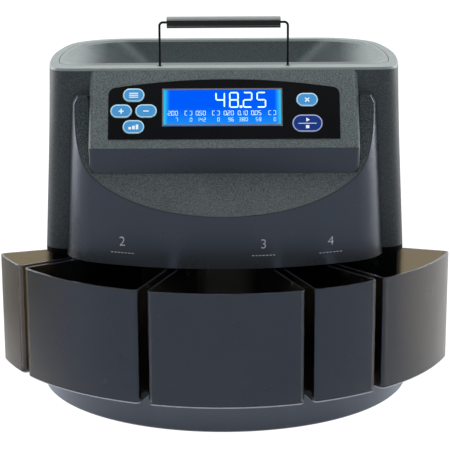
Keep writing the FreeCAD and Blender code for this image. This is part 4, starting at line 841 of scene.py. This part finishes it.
class COIN_OT_display(bpy.types.Operator):
    """Display window, its frame and the lit digits"""

    bl_idname = "coin_sorter.display"
    bl_label = "Display"

    # Lit segments of each figure, lettered from the top one round with the clock, then the middle one
    FIGURES = {"0": "abcdef", "1": "bc", "2": "abged", "3": "abgcd", "4": "fgbc", "5": "afgcd", "6": "afgedc",
               "7": "abc", "8": "abcdefg", "9": "gfabcd", "[": "afed", "]": "abcd"}
    # A figure one unit high: its width, and the width of its strokes
    WIDE = 0.58
    STROKE = 0.085
    # How far a stroke's corners are cut, as a share of its width, and how much of its room it fills
    POINT = 0.45
    UPRIGHT_FILL = 0.97
    LEVEL_FILL = 0.95
    # The decimal point of such a figure: its size, and its place after the figure
    DOT = 0.15
    DOT_X = 0.42
    DOT_Y = -0.43

    # Each line of the display, in millimetres: place up the window, height of the figures and their pitch
    TOTAL_LINE = (5.8, 12.9, 10.6)
    VALUE_LINE = (-4.8, 3.7, 2.75)
    UNUSED_LINE = (-4.8, 3.7, 3.6)
    COUNT_LINE = (-10.1, 3.0, 2.5)
    # The words and right end of the total, then the right end, coin value and count of each column
    TOTAL = ("48.25", 34.0)
    UNUSED = "[]"
    COLUMNS = ((-34.3, "2.00", "7"), (-23.2, UNUSED, "0"), (-12.8, "0.50", "142"), (-2.0, UNUSED, "0"),
               (8.8, "0.20", "96"), (19.6, "0.10", "380"), (30.0, "0.05", "58"), (41.4, UNUSED, "0"))
    DIGIT_FILM = 0.06 * MM
    DIGIT_LIFT = 0.01 * MM

    WINDOW_EDGE = 0.1 * MM
    # The frame laid on the window's border: width, height and rounding
    FRAME = 1.2 * MM
    FRAME_TOP = 0.25 * MM
    FRAME_EDGE = 0.1 * MM

    def execute(self, context):
        dress("lcd_window", "display_window", "lcd_blue", self.WINDOW_EDGE, "backlit_lcd")
        self.bezel()
        figures = {letter: self.figure(lit) for letter, lit in self.FIGURES.items()}
        figures["."] = joined([flat_bar(self.DOT, self.DOT, self.DOT_X, self.DOT_Y)], "dot")
        shown = self.line(figures, *self.TOTAL, *self.TOTAL_LINE)
        for right, value, count in self.COLUMNS:
            shown += self.line(figures, value, right,
                               *(self.UNUSED_LINE if value == self.UNUSED else self.VALUE_LINE))
            shown += self.line(figures, count, right, *self.COUNT_LINE)
        for figure in figures.values():
            bpy.data.objects.remove(figure)
        digits = joined(shown, "display_digits")
        thicken(digits, self.DIGIT_FILM)
        paint(digits, "lit_segments")
        lay_on(digits, "lcd_window", PANEL_TOP + self.DIGIT_LIFT)
        return {"FINISHED"}

    def bezel(self):
        """A thin frame laid on the window's border."""
        low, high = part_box("lcd_window")
        wide = high.x - low.x
        tall = (high.z - low.z - PANEL_TOP * FACE_OUT.z) / FACE_UP.z
        bezel = joined([flat_bar(wide, tall)], "display_bezel")
        edit(bezel)
        pick_all()
        bpy.ops.mesh.inset(thickness=self.FRAME)
        bpy.ops.mesh.delete(type="FACE")
        done()
        thicken(bezel, self.FRAME_TOP)
        round_edges(bezel, self.FRAME_EDGE)
        paint(bezel, "painted_bezel")
        smooth(bezel)
        lay_on(bezel, "lcd_window", PANEL_TOP)

    def figure(self, lit):
        """One figure, one unit high, from bars with pointed ends."""
        side = (self.WIDE - self.STROKE) / 2
        level = (1 - self.STROKE) / 2
        spots = {"a": (0, level, 0), "d": (0, -level, 0), "g": (0, 0, 0), "b": (side, level / 2, 1),
                 "c": (side, -level / 2, 1), "e": (-side, -level / 2, 1), "f": (-side, level / 2, 1)}
        bars = []
        for segment in lit:
            x, y, upright = spots[segment]
            length = level * self.UPRIGHT_FILL if upright else side * 2 * self.LEVEL_FILL
            bar = flat_bar(length, self.STROKE, x, y, math.pi / 2 * upright)
            apply_place(bar)
            edit(bar, "VERT")
            pick_all()
            bpy.ops.mesh.bevel(offset=self.STROKE * self.POINT, affect="VERTICES")
            done()
            bars.append(bar)
        return joined(bars, f"figure_{lit}")

    def line(self, figures, words, right, up, high, pitch):
        """Copies of the figures, set from the right end of a line."""
        placed = []
        x = right - high * self.WIDE / 2
        for letter in reversed(words):
            figure = figures[letter].copy()
            figure.data = figures[letter].data.copy()
            bpy.context.scene.collection.objects.link(figure)
            figure.scale = (high * MM, high * MM, 1)
            figure.location = (x * MM, up * MM, 0)
            if letter != ".":
                x -= pitch
            placed.append(figure)
        return placed


class COIN_OT_keys(bpy.types.Operator):
    """Keys with their pale rings and signs"""

    bl_idname = "coin_sorter.keys"
    bl_label = "Keys"

    # A key's face inside its ring: how far it is raised, and how wide its sloping border is
    RAISED = 0.12 * MM
    BORDER = 0.25 * MM
    SIGN_FILM = 0.05 * MM
    SIGN_LIFT = 0.01 * MM
    # How square to the console's face a key's top is at least, and how near its height
    TOP_SQUARE = 0.999
    TOP_PLAY = 0.05 * MM

    # The bars of each sign, in millimetres: length, width, place across and up, and turn in degrees
    SIGNS = {
        "set": ((7.0, 0.75, 0, -1.6, 0), (7.0, 0.75, 0, 0, 0), (7.0, 0.75, 0, 1.6, 0)),
        "plus": ((4.0, 1.0, 0, 0, 0), (1.0, 1.5, 0, 1.25, 0), (1.0, 1.5, 0, -1.25, 0)),
        "minus": ((4.4, 1.0, 0, 0, 0),),
        "batch": ((2.0, 2.0, -2.8, -1.0, 0), (2.0, 3.0, 0, -0.5, 0), (2.0, 4.0, 2.8, 0, 0)),
        "clear": ((4.6, 0.9, 0, 0, 45), (1.85, 0.9, 0.97, -0.97, -45), (1.85, 0.9, -0.97, 0.97, -45)),
        "start": ((14.0, 0.45, 0, 0, 0), (2.6, 2.6, 0, -2.8, 0)),
    }
    # The start sign's triangle: reach of its corners, and place up the key
    TRIANGLE = 1.9 * MM
    TRIANGLE_UP = 2.9 * MM

    def execute(self, context):
        rim = context.scene.coin_console.rim
        for name in ("set", "plus", "minus", "batch", "clear"):
            self.key(name, rim, "pale_ink", "blue_silicone", "key_blue")
        self.key("start", rim, "lavender_ink", "navy_silicone", "key_navy")
        return {"FINISHED"}

    def key(self, name, rim, ink, silicone, slot):
        """A key whose top has a ring of ink round a slightly raised face."""
        cad_node = f"{name}_button"
        piece = copy_of(cad_node, f"{name}_key")
        paint(piece, ink, silicone)
        edit(piece)
        pick(piece, "faces", lambda face: face.normal.dot(FACE_OUT) > self.TOP_SQUARE
             and (face.calc_center_median() - FACE_MIDDLE).dot(FACE_OUT) > KEY_TOP - self.TOP_PLAY)
        bpy.ops.mesh.inset(thickness=rim)
        give_finish(piece, 1)
        bpy.ops.mesh.inset(thickness=self.BORDER, depth=self.RAISED)
        done()
        smooth(piece)
        stand_for(piece, cad_node)
        sign = joined(self.sign(name), f"{name}_sign")
        thicken(sign, self.SIGN_FILM)
        paint(sign, "white_ink")
        lay_on(sign, cad_node, KEY_TOP + self.RAISED + self.SIGN_LIFT)

    def sign(self, name):
        """The flat shapes of a key's plain sign."""
        shapes = [flat_bar(length * MM, width * MM, x * MM, y * MM, math.radians(turn))
                  for length, width, x, y, turn in self.SIGNS[name]]
        if name == "start":
            shapes.append(flat_disc(3, self.TRIANGLE, 0, self.TRIANGLE_UP, -math.pi / 2))
        return shapes


class COIN_OT_handle(bpy.types.Operator):
    """Wire handle and its grip"""

    bl_idname = "coin_sorter.handle"
    bl_label = "Handle"

    GRIP_EDGE = 0.3 * MM
    # The painted highlight below the grip's top, and the width of the parting line, which is painted pale as
    # a highlight too
    BAND = 2.4 * MM
    LINE = 0.35 * MM
    # Faces that look further than this along X are the grip's ends, and along Y its front and back
    SIDE_SLOPE = 0.5

    def execute(self, context):
        dress("handle_wire", "handle_bail", "wire_chrome", 0, "blackened_wire")
        grip = dress("handle_grip", "handle_sleeve", "grip_plastic", self.GRIP_EDGE, "black_polypropylene",
                     "worn_polypropylene")
        low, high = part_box("handle_grip")
        band_z = high.z - self.BAND
        line_z = low.z + context.scene.coin_fittings.grip_line
        line_top = line_z + self.LINE
        edit(grip)
        for height in (line_z, line_top, band_z):
            cut((0, 0, height))
        done()
        # Painted highlight: the band below the grip's top and the parting line get the pale finish
        repaint(grip, 1, lambda middle, normal: middle.z > band_z and abs(normal.x) < self.SIDE_SLOPE
                or line_z < middle.z < line_top and abs(normal.y) > self.SIDE_SLOPE)
        smooth(grip)
        return {"FINISHED"}


class COIN_OT_works(bpy.types.Operator):
    """Sorter, inlet and switch"""

    bl_idname = "coin_sorter.works"
    bl_label = "Works and fittings"

    # Each piece: its CAD node, name and slot, its rounding in millimetres, and its finish
    PIECES = (
        ("sort_rotor", "rotor_moulding", "rotor_nylon", 0.4, "natural_nylon"),
        ("feed_cone", "cone_moulding", "rotor_nylon", 1.0, "natural_nylon"),
        ("power_inlet", "inlet_moulding", "inlet_plastic", 0.4, "black_abs"),
        ("switch_housing", "switch_frame", "inlet_plastic", 0.4, "black_abs"),
        ("switch_rocker", "switch_paddle", "inlet_plastic", 0.5, "black_abs"),
    )

    def execute(self, context):
        for cad_node, name, slot, edge, finish in self.PIECES:
            dress(cad_node, name, slot, edge * MM, finish)
        return {"FINISHED"}


class COIN_OT_stage(bpy.types.Operator):
    """Floor, lights, background and camera"""

    bl_idname = "coin_sorter.stage"
    bl_label = "Stage"

    # Each lamp: name, place, where it points, width, depth and power
    LAMPS = (
        ("top_lamp", (0.0, 0.4, 1.8), (0, 0.03, 0.2), 1.6, 1.4, 12.0),
        ("left_lamp", (-1.7, 0.9, 0.65), (0, 0.03, 0.17), 1.4, 1.5, 42.0),
        ("right_lamp", (1.7, 0.95, 0.65), (0, 0.03, 0.17), 1.4, 1.5, 42.0),
        ("front_lamp", (0.0, -0.8, 2.2), (0, -0.05, 0.2), 1.6, 1.0, 36.0),
    )
    FLOOR_SIZE = 12
    # For the rays that see the floor as background: how much of its white is its own, and how bright that is
    FLOOR_SHARE = 0.9
    FLOOR_GLOW = 1.15
    # How bright the machine mirrors the floor, and how bright in a dim patch, as a dark card would make one
    FLOOR_MIRRORED = 1.08
    CARD_MIRRORED = 0.3
    # The middle of that patch, and the distances from it over which it fades out
    CARD = (-0.6, 0.35, 0)
    CARD_FADE = {"From Min": 0.3, "From Max": 0.6}
    # What the surroundings add to the light on the machine, and their white as background
    SKY_LIGHT = 0.13
    SKY_WHITE = 1.0
    # The picture's small shift, as shares of its width
    SHIFT = (0.0008, 0.0002)

    def execute(self, context):
        self.floor(context.scene.coin_stage)
        self.world(context.scene)
        for lamp in self.LAMPS:
            self.lamp(context.scene, *lamp)
        self.camera(context.scene, context.scene.coin_stage)
        context.scene.view_settings.view_transform = "Standard"
        return {"FINISHED"}

    def lamp(self, scene, name, spot, aim, width, depth, power):
        """A soft box of light."""
        lamp = bpy.data.lights.new(name, "AREA")
        lamp.shape = "RECTANGLE"
        lamp.size = width
        lamp.size_y = depth
        lamp.energy = power
        holder = bpy.data.objects.new(name, lamp)
        scene.collection.objects.link(holder)
        holder.location = spot
        holder.rotation_euler = (Vector(aim) - Vector(spot)).to_track_quat("-Z", "Y").to_euler()

    def camera(self, scene, settings):
        """The camera in front of the machine."""
        camera = bpy.data.objects.new("camera", bpy.data.cameras.new("camera"))
        scene.collection.objects.link(camera)
        camera.location = (0, settings.camera_y, settings.camera_z)
        tilt = Matrix.Rotation(math.pi / 2 - settings.pitch, 3, "X")
        camera.rotation_euler = (tilt @ Matrix.Rotation(-settings.roll, 3, "Z")).to_euler()
        camera.data.lens = settings.lens
        camera.data.shift_x, camera.data.shift_y = self.SHIFT
        scene.camera = camera

    def background_rays(self, tree):
        """One for the rays that see the floor and the sky as background, and nought for the rest."""
        seen = node(tree, "ShaderNodeLightPath").outputs
        glossy = node(tree, "ShaderNodeMath", {0: seen["Is Camera Ray"], 1: seen["Is Glossy Ray"]},
                      operation="MAXIMUM")
        either = node(tree, "ShaderNodeMath", {0: glossy.outputs["Value"], 1: seen["Is Transmission Ray"]},
                      operation="MAXIMUM")
        return either.outputs["Value"]

    def floor(self, settings):
        """A pale paper floor that takes the machine's shadow and is white as background."""
        deselect_all()
        bpy.ops.mesh.primitive_plane_add(size=self.FLOOR_SIZE)
        floor = bpy.context.active_object
        floor.name = "floor"
        tree, place = start_material("pale_floor")
        paper = node(tree, "ShaderNodeBsdfDiffuse", {"Color": opaque(settings.floor)})
        bounced = node(tree, "ShaderNodeLightPath").outputs["Is Reflection Ray"]
        away = node(tree, "ShaderNodeVectorMath", {0: place, 1: self.CARD}, operation="DISTANCE")
        mirrored = node(tree, "ShaderNodeMapRange", {"Value": away.outputs["Value"], **self.CARD_FADE,
                                                     "To Min": self.CARD_MIRRORED,
                                                     "To Max": self.FLOOR_MIRRORED})
        glow = node(tree, "ShaderNodeMapRange", {"Value": bounced, "To Min": self.FLOOR_GLOW,
                                                 "To Max": mirrored.outputs["Result"]})
        white = node(tree, "ShaderNodeEmission", {"Color": (1, 1, 1, 1), "Strength": glow.outputs["Result"]})
        share = node(tree, "ShaderNodeMath", {0: self.background_rays(tree), 1: self.FLOOR_SHARE},
                     operation="MULTIPLY")
        mixed = node(tree, "ShaderNodeMixShader", {0: share.outputs["Value"], 1: paper.outputs["BSDF"],
                                                   2: white.outputs["Emission"]})
        node(tree, "ShaderNodeOutputMaterial", {"Surface": mixed.outputs["Shader"]})
        paint(floor, "pale_floor")

    def world(self, scene):
        """White surroundings that light the machine a little."""
        scene.world = bpy.data.worlds.new("studio")
        scene.world.use_nodes = True
        tree = scene.world.node_tree
        tree.nodes.clear()
        strength = node(tree, "ShaderNodeMapRange", {"Value": self.background_rays(tree),
                                                     "To Min": self.SKY_LIGHT, "To Max": self.SKY_WHITE})
        sky = node(tree, "ShaderNodeBackground", {"Color": (1, 1, 1, 1),
                                                  "Strength": strength.outputs["Result"]})
        node(tree, "ShaderNodeOutputWorld", {"Surface": sky.outputs["Background"]})


OPERATORS = (COIN_OT_finishes, COIN_OT_casing, COIN_OT_bins, COIN_OT_console, COIN_OT_display, COIN_OT_keys,
             COIN_OT_handle, COIN_OT_works, COIN_OT_stage)
SETTINGS = {"coin_casing": CasingSettings, "coin_bins": BinSettings, "coin_console": ConsoleSettings,
            "coin_fittings": FittingSettings, "coin_stage": StageSettings}


class COIN_PT_panel(bpy.types.Panel):
    """The steps that dress the machine, in order"""

    bl_idname = "COIN_PT_panel"
    bl_label = "Coin sorter"
    bl_space_type = "VIEW_3D"
    bl_region_type = "UI"
    bl_category = "Coin sorter"

    def draw(self, context):
        for operator in OPERATORS:
            self.layout.operator(operator.bl_idname)
        for name, group in SETTINGS.items():
            box = self.layout.box()
            for field in group.__annotations__:
                box.prop(getattr(context.scene, name), field)


def register():
    for group in (*SETTINGS.values(), *OPERATORS, COIN_PT_panel):
        bpy.utils.register_class(group)
    for name, group in SETTINGS.items():
        setattr(bpy.types.Scene, name, bpy.props.PointerProperty(type=group))


def unregister():
    for name in SETTINGS:
        delattr(bpy.types.Scene, name)
    for group in (COIN_PT_panel, *OPERATORS, *SETTINGS.values()):
        bpy.utils.unregister_class(group)


def main():
    register()
    for operator in OPERATORS:
        group, step = operator.bl_idname.split(".")
        getattr(getattr(bpy.ops, group), step)()
    deselect_all()


if __name__ == "__main__":
    main()
